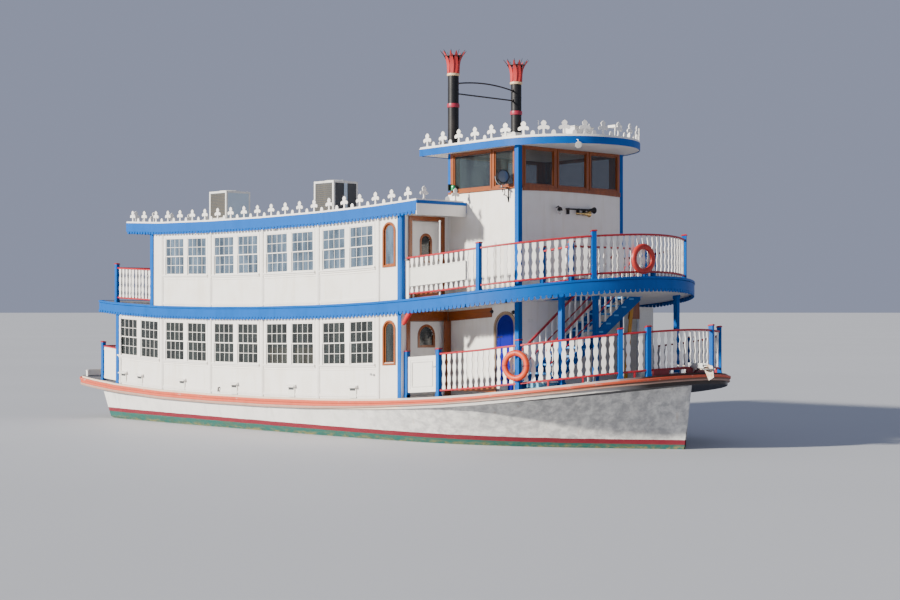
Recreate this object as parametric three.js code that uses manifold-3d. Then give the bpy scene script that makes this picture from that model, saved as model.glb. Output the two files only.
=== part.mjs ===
// A river excursion boat in the style of a paddle steamer, as an assembly of separate solids.
// Millimetres. +X is the bow, +Y is port, +Z is up. The origin is on the centreline at the
// waterline, amidships.
import * as THREE from "three";
import { mergeVertices } from "three/addons/utils/BufferGeometryUtils.js";
import Module from "manifold-3d";

const wasm = await Module();
wasm.setup();

// Driving dimensions
const GAP = 0.3; // between pieces that touch
const RUN = 8; // running clearance round a door, gate, propeller or rudder

// The sheer line is the top of the guard rim. Heights called h are measured up from it.
const SHEER_LOW = 905;
const SHEER_RISE = 850; // from the lowest point to the stem head
const SHEER_START = -5000;
const SHEER_RUN = 15370;
const SHEER_AFT = { start: -2350, bend: 2.4e-6 }; // rise per square millimetre of run aft
const SHEER_STERN = { start: -6630, bend: 8e-6 };

const BAY = 2420; // one pair of windows
const FIRST_BAY = -9050;
// Places along the boat where the sheer line bends: bay lines aft, half bays forward
const SHEER_STATIONS = [
  -11600, -10300, FIRST_BAY,
  ...[1, 2, 3, 4, 4.5, 5, 5.5, 6, 6.5, 7, 7.5, 8].map((n) => FIRST_BAY + BAY * n),
  11600,
];

const HALF_BEAM = 3485; // outside of the cabin walls
const WALL = 60;
const CABIN_FRONT = 3950;
const LOWER_CABIN_AFT = FIRST_BAY;
const UPPER_CABIN_AFT = -7200;

// Decks and roofs: plan sizes and heights over the sheer line
const MAIN_DECK = {
  half: 3540, bowX: 7070, sternX: -11220, sternR: 400, top: 50, bottom: -220,
};
const RIM = { out: 80, top: 0, bottom: -220, bowBottom: -120, taper: [2000, 9000] };
const UPPER_DECK = { half: 3580, bowX: 5950, sternX: -9900, sternR: 60, top: 2530, bottom: 2280 };
const CABIN_ROOF = { half: 3620, aft: -8340, front: 4620, top: 4980, bottom: 4720 };
const ROUND = 20; // chords in a half circle of deck edge

// Deckhouse tower under the wheelhouse
const TOWER = { half: 1860, front: 6600, aft: CABIN_FRONT + GAP };
const TOWER_SIDE_END = TOWER.front - WALL - GAP;
const WHEELHOUSE = { sill: 6335, head: 7395, slope: 0.019, levelAt: 4050 };
const WHEELHOUSE_ROOF = { half: 2180, aft: 3210, noseX: 6050, nose: 2120, thick: 175 };

// Windows and doors
const SASH = {
  wide: 930, between: 180, lowerSill: 945, lowerTall: 1130, upperSill: 3455, upperTall: 1080,
};
const ARCH_SASH = { x: 3475, wide: 380, lowerSill: 960, upperSill: 3450, tall: 1050 };
const PILASTER = { wide: 130, proud: 25 };
const DOOR_THICK = 40;

// Railings
const RAIL = {
  top: 1080, bottom: 130, bar: 45, wide: 64, pitch: 220, slat: 92, slatThick: 24,
  post: 110, postTop: 1170, cap: 140, capThick: 36,
};
const MAIN_RAIL_R = 3360;
const UPPER_RAIL_R = 3370;
const GATE_POST_X = 5165; // the rail's end post, which the gate shuts against
const UPPER_STERN_RAIL = -9220;

const COLOUR = {
  white: { color: 0xf2f0ea, roughness: 0.55, metalness: 0 },
  blue: { color: 0x2f86d8, roughness: 0.5, metalness: 0 },
  deepBlue: { color: 0x1030c8, roughness: 0.4, metalness: 0 },
  salmon: { color: 0xd9705a, roughness: 0.6, metalness: 0 },
  wood: { color: 0xa8602c, roughness: 0.5, metalness: 0 },
  black: { color: 0x18181a, roughness: 0.45, metalness: 0.1 },
  orange: { color: 0xe8603c, roughness: 0.5, metalness: 0 },
  bronze: { color: 0xb08a4a, roughness: 0.35, metalness: 0.9 },
  steel: { color: 0xb8bcc0, roughness: 0.35, metalness: 0.9 },
  grey: { color: 0x9a9ea2, roughness: 0.6, metalness: 0.2 },
};

// Solids

const boat = new THREE.Group();

// The sheer line as a smooth curve, and as the straight runs between its stations.
function sheerCurve(x) {
  const forward = Math.max(0, (x - SHEER_START) / SHEER_RUN);
  const aft = Math.min(0, x - SHEER_AFT.start);
  const stern = Math.min(0, x - SHEER_STERN.start);
  return SHEER_LOW + SHEER_RISE * forward ** 3 + SHEER_AFT.bend * aft ** 2
    + SHEER_STERN.bend * stern ** 2;
}

function sheer(x) {
  let i = 1;
  while (i < SHEER_STATIONS.length - 1 && x > SHEER_STATIONS[i]) i += 1;
  const [a, b] = [SHEER_STATIONS[i - 1], SHEER_STATIONS[i]];
  const share = (x - a) / (b - a);
  return sheerCurve(a) * (1 - share) + sheerCurve(b) * share;
}

// A closed geometry as a solid that can be joined and cut.
function solid(geometry) {
  const bare = geometry.index ? geometry.toNonIndexed() : geometry.clone();
  bare.deleteAttribute("normal");
  bare.deleteAttribute("uv");
  const merged = mergeVertices(bare, 1e-3);
  return new wasm.Manifold(
    new wasm.Mesh({
      numProp: 3,
      vertProperties: merged.attributes.position.array,
      triVerts: new Uint32Array(merged.index.array),
    }),
  );
}

const join = (list) => list.reduce((sum, next) => sum.add(next));
const cut = (body, list) => list.reduce((rest, next) => rest.subtract(next), body);

// Triangles of a solid as a flat list of corner points.
function corners(body) {
  const { numProp, vertProperties, triVerts } = body.getMesh();
  return Array.from(triVerts, (v) => [0, 1, 2].map((k) => vertProperties[v * numProp + k]));
}

function surface(points) {
  const flat = new Float32Array(points.flat());
  const geometry = new THREE.BufferGeometry();
  geometry.setAttribute("position", new THREE.BufferAttribute(flat, 3));
  geometry.computeVertexNormals();
  return geometry;
}

// The point where the edge from p to q crosses x = place, the same whichever way it is asked.
function crossing(p, q, place) {
  const [a, b] = p[0] < q[0] ? [p, q] : [q, p];
  const share = (place - a[0]) / (b[0] - a[0]);
  return [place, a[1] + (b[1] - a[1]) * share, a[2] + (b[2] - a[2]) * share];
}

const NEAR = 0.5; // a corner this close to a station counts as on it

// The part of a triangle that lies between x = from and x = to.
function strip(tri, from, to) {
  const part = [];
  tri.forEach((p, k) => {
    const q = tri[(k + 1) % 3];
    if (p[0] > from - NEAR && p[0] < to + NEAR) part.push(p);
    const cutAt = [from, to].filter((x) => (p[0] - x) * (q[0] - x) < 0
      && Math.abs(p[0] - x) >= NEAR && Math.abs(q[0] - x) >= NEAR);
    if (p[0] > q[0]) cutAt.reverse();
    part.push(...cutAt.map((x) => crossing(p, q, x)));
  });
  return part;
}

// Cuts each triangle at the sheer stations, so that the skin can bend there.
function creased(points) {
  const out = [];
  for (let i = 0; i < points.length; i += 3) {
    const tri = points.slice(i, i + 3);
    const [low, , high] = tri.map((p) => p[0]).sort((a, b) => a - b);
    const inside = SHEER_STATIONS.filter((x) => x > low + NEAR && x < high - NEAR);
    const edges = [-Infinity, ...inside, Infinity];
    for (let n = 0; n + 1 < edges.length; n += 1) {
      const part = strip(tri, edges[n], edges[n + 1]);
      for (let k = 1; k + 1 < part.length; k += 1) out.push(part[0], part[k], part[k + 1]);
    }
  }
  return out;
}

const overSheer = (x, h) => h + sheer(x);
const wheelhouseLift = (x) => WHEELHOUSE.slope * (x - WHEELHOUSE.levelAt);
const overWheelhouse = (x, z) => z + wheelhouseLift(x);

// Bends a level solid: each point's height becomes rise(x, height).
function bend(body, rise) {
  return surface(creased(corners(body)).map(([x, y, h]) => [x, y, rise(x, h)]));
}

function put(name, colour, geometry) {
  const mesh = new THREE.Mesh(geometry, new THREE.MeshStandardMaterial(COLOUR[colour]));
  mesh.name = name;
  boat.add(mesh);
  return mesh;
}

const bent = (body, rise = overSheer) => solid(bend(body, rise));

// A piece whose parts and cuts were made level, and follow the sheer line.
function putOnSheer(name, colour, parts, cuts = []) {
  const whole = cut(join([parts].flat().map((p) => bent(p))), cuts.map((c) => bent(c)));
  put(name, colour, surface(corners(whole)));
}

// Shapes

function box(x0, x1, y0, y1, z0, z1) {
  const geometry = new THREE.BoxGeometry(x1 - x0, y1 - y0, z1 - z0);
  geometry.translate((x0 + x1) / 2, (y0 + y1) / 2, (z0 + z1) / 2);
  return solid(geometry);
}

// A plan outline of [x, y] points carried up from z0 to z1.
function slab(outline, z0, z1, hole) {
  const shape = new THREE.Shape(outline.map(([x, y]) => new THREE.Vector2(x, y)));
  if (hole) shape.holes.push(new THREE.Path(hole.map(([x, y]) => new THREE.Vector2(x, y))));
  const geometry = new THREE.ExtrudeGeometry(shape, { depth: z1 - z0, bevelEnabled: false });
  geometry.translate(0, 0, z0);
  return solid(geometry);
}

// An outline of [y, z] points carried along X.
function alongX(outline, x0, x1) {
  const shape = new THREE.Shape(outline.map(([y, z]) => new THREE.Vector2(y, z)));
  const geometry = new THREE.ExtrudeGeometry(shape, { depth: x1 - x0, bevelEnabled: false });
  geometry.rotateY(Math.PI / 2).rotateX(Math.PI / 2);
  geometry.translate(x0, 0, 0);
  return solid(geometry);
}

// An outline of [x, z] points carried along Y.
function alongY(outline, y0, y1) {
  const shape = new THREE.Shape(outline.map(([x, z]) => new THREE.Vector2(x, z)));
  const geometry = new THREE.ExtrudeGeometry(shape, { depth: y1 - y0, bevelEnabled: false });
  geometry.rotateX(Math.PI / 2);
  geometry.translate(0, y1, 0);
  return solid(geometry);
}

const arc = (cx, cy, rx, ry, from, to, chords) =>
  Array.from({ length: chords + 1 }, (_, i) => {
    const a = THREE.MathUtils.degToRad(from + ((to - from) * i) / chords);
    return [cx + rx * Math.cos(a), cy + ry * Math.sin(a)];
  });

// The outline of an opening with a round head: [across, up] points.
function archOutline(middle, wide, foot, tall, chords = 8) {
  const r = wide / 2;
  return [
    [middle - r, foot],
    [middle + r, foot],
    ...arc(middle, foot + tall - r, r, r, 0, 180, chords),
  ];
}

// A closed skin through rings that each have the same number of points.
function loft(rings, closed = false) {
  const points = [];
  const count = rings[0].length;
  const last = closed ? rings.length : rings.length - 1;
  for (let i = 0; i < last; i += 1) {
    const next = rings[(i + 1) % rings.length];
    for (let k = 0; k < count; k += 1) {
      const [a, b] = [rings[i][k], rings[i][(k + 1) % count]];
      const [c, d] = [next[k], next[(k + 1) % count]];
      points.push(a, c, b, b, c, d);
    }
  }
  const fan = (ring, turn) => {
    for (let k = 1; k + 1 < count; k += 1) {
      points.push(...(turn ? [ring[0], ring[k + 1], ring[k]] : [ring[0], ring[k], ring[k + 1]]));
    }
  };
  if (!closed) {
    fan(rings[0], false);
    fan(rings[rings.length - 1], true);
  }
  return surface(points);
}

const NOSE = 40; // half width of the flat at the very front of a round deck

// The starboard edge of a deck as [x, half breadth]: rounded stern, straight side, round bow.
function deckEdge({ half, bowX, sternX, sternR }, grow = 0) {
  const h = half + grow;
  const back = sternX - grow;
  const r = sternR + grow;
  const stern = arc(back + r, h - r, r, r, 180, 90, sternR > 200 ? 6 : 1);
  const bow = arc(bowX, 0, h, h, 90, 0, ROUND / 2);
  bow[bow.length - 1][1] = NOSE;
  return [...stern, ...bow];
}

// A whole deck from z0 to z1, as crosswise strips.
function deckSlab(plan, z0, z1) {
  return solid(loft(deckEdge(plan).map(([x, w]) => [[x, -w, z0], [x, -w, z1], [x, w, z1], [x, w, z0]])));
}

// A bar of square section swept along a path in plan, with mitred corners.
function sweep(path, wide, z0, z1, closed = false) {
  const count = path.length;
  const way = (i) => {
    const [a, b] = [path[i % count], path[(i + 1) % count]];
    const long = Math.hypot(b[0] - a[0], b[1] - a[1]);
    return [(b[0] - a[0]) / long, (b[1] - a[1]) / long];
  };
  const rings = path.map((p, i) => {
    const u = way(closed ? i + count - 1 : Math.max(0, i - 1));
    const v = way(closed ? i : Math.min(i, count - 2));
    const scale = wide / (1 + u[0] * v[0] + u[1] * v[1]) / 2;
    const across = [-(u[1] + v[1]) * scale, (u[0] + v[0]) * scale];
    const [l, r] = [[p[0] + across[0], p[1] + across[1]], [p[0] - across[0], p[1] - across[1]]];
    return [[...r, z0], [...r, z1], [...l, z1], [...l, z0]];
  });
  return solid(loft(rings, closed));
}

// Hull

// Half breadths at the deck, at the water and at the chine, with where each lies along X
const HULL_ROWS = [
  // deckX, deck, waterX, water, chineX, chine, chineZ, floorZ
  [-10120, 3300, -9900, 3150, -9760, 2860, -150, -250],
  [-9050, 3400, -9000, 3240, -8950, 2930, -260, -390],
  [-6630, 3460, -6630, 3300, -6630, 2900, -480, -640],
  [-4210, 3480, -4210, 3320, -4210, 2800, -640, -790],
  [-1790, 3480, -1790, 3320, -1790, 2750, -660, -800],
  [630, 3480, 630, 3300, 630, 2700, -660, -800],
  [1840, 3480, 1840, 3260, 1840, 2650, -660, -800],
  [3050, 3480, 3050, 3190, 3050, 2560, -660, -800],
  [4260, 3470, 4240, 3060, 4200, 2400, -660, -800],
  [5470, 3400, 5430, 2820, 5350, 2130, -660, -800],
  [6680, 3160, 6600, 2400, 6450, 1720, -660, -800],
  [7890, 2560, 7760, 1790, 7550, 1180, -660, -800],
  [9100, 1440, 8960, 980, 8700, 600, -660, -800],
  [10310, 130, 10130, 90, 9790, 70, -640, -780],
  [10400, 30, 10220, 25, 9890, 25, -630, -760],
];
const WATER_LEVEL_Z = 60;
const KEEL = { aft: -7000, fore: 8600, half: 70, bottom: -1000 };

function hullRing([deckX, deck, waterX, water, chineX, chine, chineZ, floorZ]) {
  const deckZ = sheer(deckX) + MAIN_DECK.bottom - GAP;
  const half = [
    [deckX, deck, deckZ],
    [waterX, water, WATER_LEVEL_Z],
    [chineX, chine, chineZ],
    [chineX, chine * 0.06, floorZ],
  ];
  const port = half.map(([x, y, z]) => [x, y, z]);
  const starboard = half.map(([x, y, z]) => [x, -y, z]).reverse();
  return [...port, ...starboard];
}

const PROP = { x: -7950, y: 1500, z: -720, radius: 250, hub: 55, hubLong: 190, shaft: 32 };
const SHAFT_TUBE = { fore: -3500, r: 46 };
const STRUT = { x: -7700, long: 160, thick: 40, barrel: 62 };
const RUDDER = {
  stockX: -8430, stock: 32, fore: 120, aft: 420, top: -415, bottom: -970, thick: 36,
  stockOver: 10,
};

function cylinderX(x0, x1, y, z, r, sides = 16) {
  const geometry = new THREE.CylinderGeometry(r, r, x1 - x0, sides);
  geometry.rotateZ(Math.PI / 2).translate((x0 + x1) / 2, y, z);
  return solid(geometry);
}

function cylinderZ(x, y, z0, z1, r, sides = 16, rTop = r) {
  const geometry = new THREE.CylinderGeometry(rTop, r, z1 - z0, sides);
  geometry.rotateX(Math.PI / 2).translate(x, y, (z0 + z1) / 2);
  return solid(geometry);
}

function makeHull() {
  const skin = solid(loft(HULL_ROWS.map(hullRing)));
  const keel = alongY(
    [
      [KEEL.aft - 1000, -500],
      [KEEL.aft, KEEL.bottom],
      [KEEL.fore, KEEL.bottom],
      [KEEL.fore + 500, -700],
    ],
    -KEEL.half, KEEL.half,
  );
  const gear = [];
  for (const side of [-1, 1]) {
    const y = side * PROP.y;
    const end = STRUT.x + STRUT.long / 2;
    gear.push(cylinderX(end - STRUT.long, end, y, PROP.z, STRUT.barrel));
    gear.push(cylinderX(end - 20, SHAFT_TUBE.fore, y, PROP.z, SHAFT_TUBE.r, 12));
    gear.push(box(STRUT.x - 60, STRUT.x + 60, y - STRUT.thick / 2, y + STRUT.thick / 2, PROP.z, -300));
    const { stockX, stock, top } = RUDDER;
    gear.push(cylinderZ(stockX, y, top + RUDDER.stockOver + GAP, -200, stock + 22, 12));
  }
  put("hull", "white", surface(corners(join([skin, keel, ...gear]))));
}

// Three twisted blades on a hub, ahead of a tapered cap.
function makePropeller(name, side) {
  const parts = [cylinderX(-PROP.hubLong / 2, PROP.hubLong / 2, 0, 0, PROP.hub, 12)];
  const stub = STRUT.x - STRUT.long / 2 - GAP - PROP.x;
  parts.push(cylinderX(0, stub, 0, 0, PROP.shaft, 12));
  for (const turn of [0, 120, 240]) {
    const blade = new THREE.CylinderGeometry(PROP.radius * 0.42, PROP.radius * 0.42, 18, 12);
    blade.rotateZ(Math.PI / 2).translate(0, 0, PROP.radius * 0.57);
    blade.rotateZ(side * 0.55);
    blade.rotateX(THREE.MathUtils.degToRad(turn));
    parts.push(solid(blade));
  }
  put(name, "bronze", surface(corners(join(parts)))).position.set(PROP.x, side * PROP.y, PROP.z);
}

function makeRudder(name, side) {
  const { stock, fore, aft, top, bottom, thick } = RUDDER;
  const plate = box(-aft, fore, -thick / 2, thick / 2, bottom, top - 60);
  const post = cylinderZ(0, 0, bottom + 40, top + RUDDER.stockOver, stock, 12);
  const rudder = put(name, "salmon", surface(corners(join([plate, post]))));
  rudder.position.set(RUDDER.stockX, side * PROP.y, 0);
}

// Decks

const STAIR = {
  aft: 7000, fore: 7850, footY: -2350, headY: 1200, steps: 12, string: 32, deep: 230, tread: 34,
};
const STAIRWELL = { aft: 6960, fore: 7900, from: -1500, to: 1260 };
const CORNER_COLUMN = { x0: 6460, x1: 6600, y0: TOWER.half + GAP, y1: TOWER.half + 140 };

// The rim is thinner towards the bow.
function rimBottom(x) {
  const [from, to] = RIM.taper;
  return THREE.MathUtils.mapLinear(THREE.MathUtils.clamp(x, from, to), from, to, RIM.bottom, RIM.bowBottom);
}

function makeDecks() {
  putOnSheer("main_deck", "grey", deckSlab(MAIN_DECK, MAIN_DECK.bottom, MAIN_DECK.top));
  const round = (grow) => {
    const edge = deckEdge(MAIN_DECK, grow);
    return [...edge.map(([x, w]) => [x, -w]), ...edge.map(([x, w]) => [x, w]).reverse()];
  };
  const outer = round(GAP + RIM.out);
  const rim = round(GAP).map((p, i) => [
    [...outer[i], rimBottom(p[0])], [...outer[i], RIM.top], [...p, RIM.top], [...p, rimBottom(p[0])],
  ]);
  putOnSheer("guard_rim", "salmon", solid(loft(rim, true)));

  const upper = deckSlab(UPPER_DECK, UPPER_DECK.bottom, UPPER_DECK.top);
  const { aft, fore, from, to } = STAIRWELL;
  const holes = [box(aft, fore, from, to, UPPER_DECK.bottom - 50, UPPER_DECK.top + 50)];
  for (const side of [-1, 1]) {
    const { x0, x1, y0, y1 } = CORNER_COLUMN;
    const ys = [side * (y0 - GAP), side * (y1 + GAP)].sort((a, b) => a - b);
    holes.push(box(x0 - GAP, x1 + GAP, ...ys, UPPER_DECK.bottom - 50, UPPER_DECK.top + 50));
  }
  putOnSheer("upper_deck", "blue", upper, holes);

  const roof = CABIN_ROOF;
  const plate = box(roof.aft, roof.front, -roof.half, roof.half, roof.bottom, roof.top);
  const notch = box(
    CABIN_FRONT, roof.front + 50, -TOWER.half - GAP, TOWER.half + GAP, roof.bottom - 50, roof.top + 50,
  );
  putOnSheer("cabin_roof", "blue", plate, [notch]);
}

// Cabin walls

const LEVELS = {
  lower: {
    foot: MAIN_DECK.top + GAP, head: UPPER_DECK.bottom - GAP,
    aft: LOWER_CABIN_AFT, bays: [0, 1, 2, 3, 4], sill: SASH.lowerSill, glass: SASH.lowerTall,
    archSill: ARCH_SASH.lowerSill,
  },
  upper: {
    foot: UPPER_DECK.top + GAP, head: CABIN_ROOF.bottom - GAP,
    aft: UPPER_CABIN_AFT, bays: [1, 2, 3, 4], sill: SASH.upperSill, glass: SASH.upperTall,
    archSill: ARCH_SASH.upperSill,
  },
};

function makeSideWall(name, level, side) {
  const { foot, head, aft, bays, sill, glass, archSill } = LEVELS[level];
  const [inner, outer] = [HALF_BEAM - WALL, HALF_BEAM];
  const reach = [inner - 10, outer + PILASTER.proud + 10];
  const parts = [box(aft, CABIN_FRONT, inner, outer, foot, head)];
  const lines = [...bays, bays.length + bays[0]].map((n) => FIRST_BAY + n * BAY);
  for (const x of [...lines, aft + PILASTER.wide / 2, CABIN_FRONT - PILASTER.wide / 2]) {
    if (x < aft + 40) continue;
    const w = PILASTER.wide / 2;
    parts.push(box(x - w, x + w, outer - 5, outer + PILASTER.proud, foot, head));
  }
  const holes = [];
  for (const n of bays) {
    const middle = FIRST_BAY + (n + 0.5) * BAY;
    for (const hand of [-1, 1]) {
      const x = middle + (hand * (SASH.wide + SASH.between)) / 2;
      holes.push(box(x - SASH.wide / 2, x + SASH.wide / 2, ...reach, sill, sill + glass));
    }
  }
  const arch = archOutline(ARCH_SASH.x, ARCH_SASH.wide, archSill, ARCH_SASH.tall);
  holes.push(alongY(arch, ...reach));
  const turn = side > 0 ? (b) => b : mirrored;
  putOnSheer(name, "white", parts.map(turn), holes.map(turn));
}

// The same solid on the other side of the centreline.
function mirrored(body) {
  const points = corners(body).map(([x, y, z]) => [x, -y, z]);
  for (let i = 0; i < points.length; i += 3) [points[i], points[i + 1]] = [points[i + 1], points[i]];
  return solid(surface(points));
}

// Doors: where each hangs. level is the height of its foot over the sheer line.
const FRONT_DOOR = {
  lower: { hinge: 3210, wide: 1180, foot: 110, tall: 1870, pane: 480, paneFoot: 1380, paneTall: 470 },
  upper: { hinge: 3140, wide: 1000, foot: 2590, tall: 1950, pane: 300, paneFoot: 3560, paneTall: 620 },
};
const AFT_DOOR = {
  lower: { hinge: 500, wide: 900, foot: 110, tall: 1830, pane: 520, paneFoot: 1150, paneTall: 620 },
  upper: { hinge: 500, wide: 900, foot: 2590, tall: 1950, pane: 520, paneFoot: 3750, paneTall: 620 },
};
const TOWER_DOOR = { hinge: 5710, wide: 600, foot: 110, tall: 1900 };

// A hole for a door that hangs across the boat, between y0 and y1.
const doorway = (x, y0, y1, foot, tall) =>
  box(x - WALL - 20, x + 20, y0 - RUN, y1 + RUN, foot - RUN, foot + tall + RUN);

function makeFrontWall(name, level) {
  const { foot, head } = LEVELS[level];
  const { hinge, wide, foot: doorFoot, tall } = FRONT_DOOR[level];
  const inner = HALF_BEAM - WALL - GAP;
  const plate = box(CABIN_FRONT - WALL, CABIN_FRONT, -inner, inner, foot, head);
  const holes = [
    doorway(CABIN_FRONT, -hinge, -hinge + wide, doorFoot, tall),
    doorway(CABIN_FRONT, hinge - wide, hinge, doorFoot, tall),
  ];
  if (level === "lower") {
    const passage = box(
      CABIN_FRONT - WALL - 20, CABIN_FRONT + 20, -500, 500, LEVELS.lower.foot + 60, 1990,
    );
    holes.push(passage);
  }
  putOnSheer(name, "white", plate, holes);
}

function makeAftWall(name, level) {
  const { foot, head, aft, sill, glass } = LEVELS[level];
  const { hinge, wide, foot: doorFoot, tall } = AFT_DOOR[level];
  const inner = HALF_BEAM - WALL - GAP;
  const plate = box(aft, aft + WALL, -inner, inner, foot, head);
  const holes = [doorway(aft + WALL, hinge - wide, hinge, doorFoot, tall)];
  for (const y of [-2200, 1900]) {
    holes.push(box(aft - 20, aft + WALL + 20, y - 430, y + 430, sill, sill + glass));
  }
  putOnSheer(name, "white", plate, holes);
}

const BARREL = { r: RUN - GAP, long: 130, inset: 150 };

// Two hinge barrels on the axis of a door, near its foot and its head.
const barrels = (x, y, foot, tall) =>
  [foot + BARREL.inset, foot + tall - BARREL.inset - BARREL.long].map((z) =>
    cylinderZ(x, y, z, z + BARREL.long, BARREL.r, 8));

// A door leaf across the boat, with an arched pane, from the hinge at y towards the centreline.
// inner is the side of the leaf, along X, that faces the cabin and carries the hinges.
function makeCrossDoor(name, colour, x, side, inner, { hinge, wide, foot, tall, pane, paneFoot, paneTall }) {
  const near = side * hinge;
  const far = side * (hinge - wide);
  const leaf = box(x, x + DOOR_THICK, Math.min(near, far), Math.max(near, far), foot, foot + tall);
  const light = alongX(
    archOutline((near + far) / 2, pane, paneFoot, paneTall), x - 10, x + DOOR_THICK + 10,
  );
  const hinges = barrels(inner, near, foot, tall);
  const points = corners(join([leaf.subtract(light), ...hinges]));
  const lift = sheer(x);
  put(name, colour, surface(points.map(([px, py, h]) => [px, py, h + lift])));
}

function makeTowerDoor(name, side) {
  const { hinge, wide, foot, tall } = TOWER_DOOR;
  const outline = archOutline(hinge + wide / 2, wide, foot, tall, 10);
  const inner = TOWER.half - WALL;
  const leaf = alongY(outline, inner, inner + DOOR_THICK);
  const parts = [leaf, ...barrels(hinge, inner, foot, tall - wide / 2)];
  putOnSheer(name, "deepBlue", side > 0 ? parts : parts.map(mirrored));
}

// Tower and wheelhouse

// The front wall's plan, from corner to corner
const frontPlan = [
  [TOWER.front, -TOWER.half], [TOWER.front, TOWER.half],
  [TOWER.front - WALL, TOWER.half], [TOWER.front - WALL, -TOWER.half],
];

// Heights that follow the sheer at the foot and the wheelhouse's own level at the head.
const between = (foot, head) => (x, h) => {
  const share = (h - foot) / (head - foot);
  return overSheer(x, foot) * (1 - share) + overWheelhouse(x, head) * share;
};

function makeTower() {
  const lower = LEVELS.lower;
  const door = TOWER_DOOR;
  const inner = TOWER.half - WALL;
  const plan = [TOWER.aft, TOWER_SIDE_END, inner, TOWER.half];
  const hole = alongY(
    archOutline(door.hinge + door.wide / 2, door.wide + 2 * RUN, door.foot - RUN, door.tall + 2 * RUN, 10),
    inner - 20, TOWER.half + 20,
  );
  const lowerSide = box(...plan, lower.foot, lower.head);
  const upperSide = box(...plan, UPPER_DECK.top + GAP, WHEELHOUSE.sill - GAP);
  const upperFront = slab(frontPlan, UPPER_DECK.top + GAP, WHEELHOUSE.sill - GAP);
  putOnSheer("tower_lower_port", "white", lowerSide, [hole]);
  putOnSheer("tower_lower_starboard", "white", mirrored(lowerSide), [mirrored(hole)]);
  putOnSheer("tower_lower_front", "white", slab(frontPlan, lower.foot, lower.head));
  const rise = between(UPPER_DECK.top + GAP, WHEELHOUSE.sill - GAP);
  put("tower_upper_port", "white", bend(upperSide, rise));
  put("tower_upper_starboard", "white", bend(mirrored(upperSide), rise));
  put("tower_upper_front", "white", bend(upperFront, rise));
}

const GLAZED = { foot: 6440, head: 7330 };
const SIDE_LIGHTS = [[4160, 5490], [5630, 6290]];
const FRONT_LIGHTS = { count: 3, wide: 1040, pitch: 1228 };
const AFT_LIGHTS = [-900, 900];

function makeWheelhouse() {
  const { sill, head } = WHEELHOUSE;
  const in1 = TOWER.half - WALL;
  const outer = [
    [TOWER.aft, -TOWER.half], [TOWER.front, -TOWER.half], [TOWER.front, TOWER.half], [TOWER.aft, TOWER.half],
  ];
  const inner = [
    [TOWER.aft + WALL, -in1], [TOWER.front - WALL, -in1], [TOWER.front - WALL, in1], [TOWER.aft + WALL, in1],
  ];
  const band = slab(outer, sill, head, inner);
  const roofTop = overSheer(TOWER.aft, CABIN_ROOF.bottom);
  const skirt = box(TOWER.aft, TOWER.aft + WALL, -in1 + GAP, in1 - GAP, roofTop, sill + 5);
  const holes = SIDE_LIGHTS.map(([a, b]) =>
    box(a, b, -TOWER.half - 50, TOWER.half + 50, GLAZED.foot, GLAZED.head));
  for (let i = 0; i < FRONT_LIGHTS.count; i += 1) {
    const y = (i - (FRONT_LIGHTS.count - 1) / 2) * FRONT_LIGHTS.pitch;
    const half = FRONT_LIGHTS.wide / 2;
    holes.push(box(TOWER.front - 2 * WALL, TOWER.front + WALL, y - half, y + half, GLAZED.foot, GLAZED.head));
  }
  for (const y of AFT_LIGHTS) {
    holes.push(box(TOWER.aft - 30, TOWER.aft + WALL + 30, y - 600, y + 600, GLAZED.foot, GLAZED.head));
  }
  const level = cut(band, holes).add(skirt);
  put("wheelhouse_frame", "wood", surface(corners(level).map(([x, y, z]) => [x, y, overWheelhouse(x, z)])));

  const { half, aft, noseX, nose, thick } = WHEELHOUSE_ROOF;
  const plan = [[aft, -half], ...arc(noseX, 0, nose, half, -90, 90, 18), [aft, half]];
  const roof = slab(plan, head + GAP, head + thick);
  put("wheelhouse_roof", "blue", surface(corners(roof).map(([x, y, z]) => [x, y, overWheelhouse(x, z)])));
}

// The platform that lifts the steersman, the console and the wheel.
const HELM = { x: 5700, platform: 5370, consoleTop: 6400, wheelR: 380, wheelX: 5560, wheelZ: 6450 };

function makeHelm() {
  const foot = overSheer(6300, UPPER_DECK.top) + GAP;
  const parts = [
    box(4500, 6300, -1500, 1500, foot, HELM.platform),
    box(HELM.x, HELM.x + 420, -650, 650, HELM.platform - 5, HELM.consoleTop - 60),
    cylinderX(HELM.wheelX, HELM.x + 30, 0, HELM.wheelZ - 300, 30, 12),
  ];
  const rim = new THREE.TorusGeometry(HELM.wheelR, 22, 5, 16);
  rim.rotateY(Math.PI / 2).translate(HELM.wheelX, 0, HELM.wheelZ - 300);
  parts.push(solid(rim));
  for (const turn of [0, 60, 120]) {
    const spoke = new THREE.BoxGeometry(24, 24, 2 * HELM.wheelR + 180);
    spoke.rotateX(THREE.MathUtils.degToRad(turn)).translate(HELM.wheelX, 0, HELM.wheelZ - 300);
    parts.push(solid(spoke));
  }
  put("helm", "wood", surface(corners(join(parts))));
}

// Columns

const BOW_COLUMNS = [
  { name: "bow_column_starboard", x: 8220, y: -2200 },
  { name: "bow_column_port", x: 8220, y: 2200 },
  { name: "stair_column", x: 7975, y: -680 },
];
const COLUMN = 120;

function makeColumns() {
  const c = COLUMN / 2;
  for (const { name, x, y } of BOW_COLUMNS) {
    putOnSheer(name, "blue", box(x - c, x + c, y - c, y + c, LEVELS.lower.foot, LEVELS.lower.head));
  }
  const { x0, x1, y0, y1 } = CORNER_COLUMN;
  const foot = LEVELS.lower.foot;
  const rise = between(foot, WHEELHOUSE.head);
  const port = box(x0, x1, y0, y1, foot, WHEELHOUSE.head);
  put("tower_column_port", "blue", bend(port, rise));
  put("tower_column_starboard", "blue", bend(mirrored(port), rise));
}

// Railings

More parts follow.
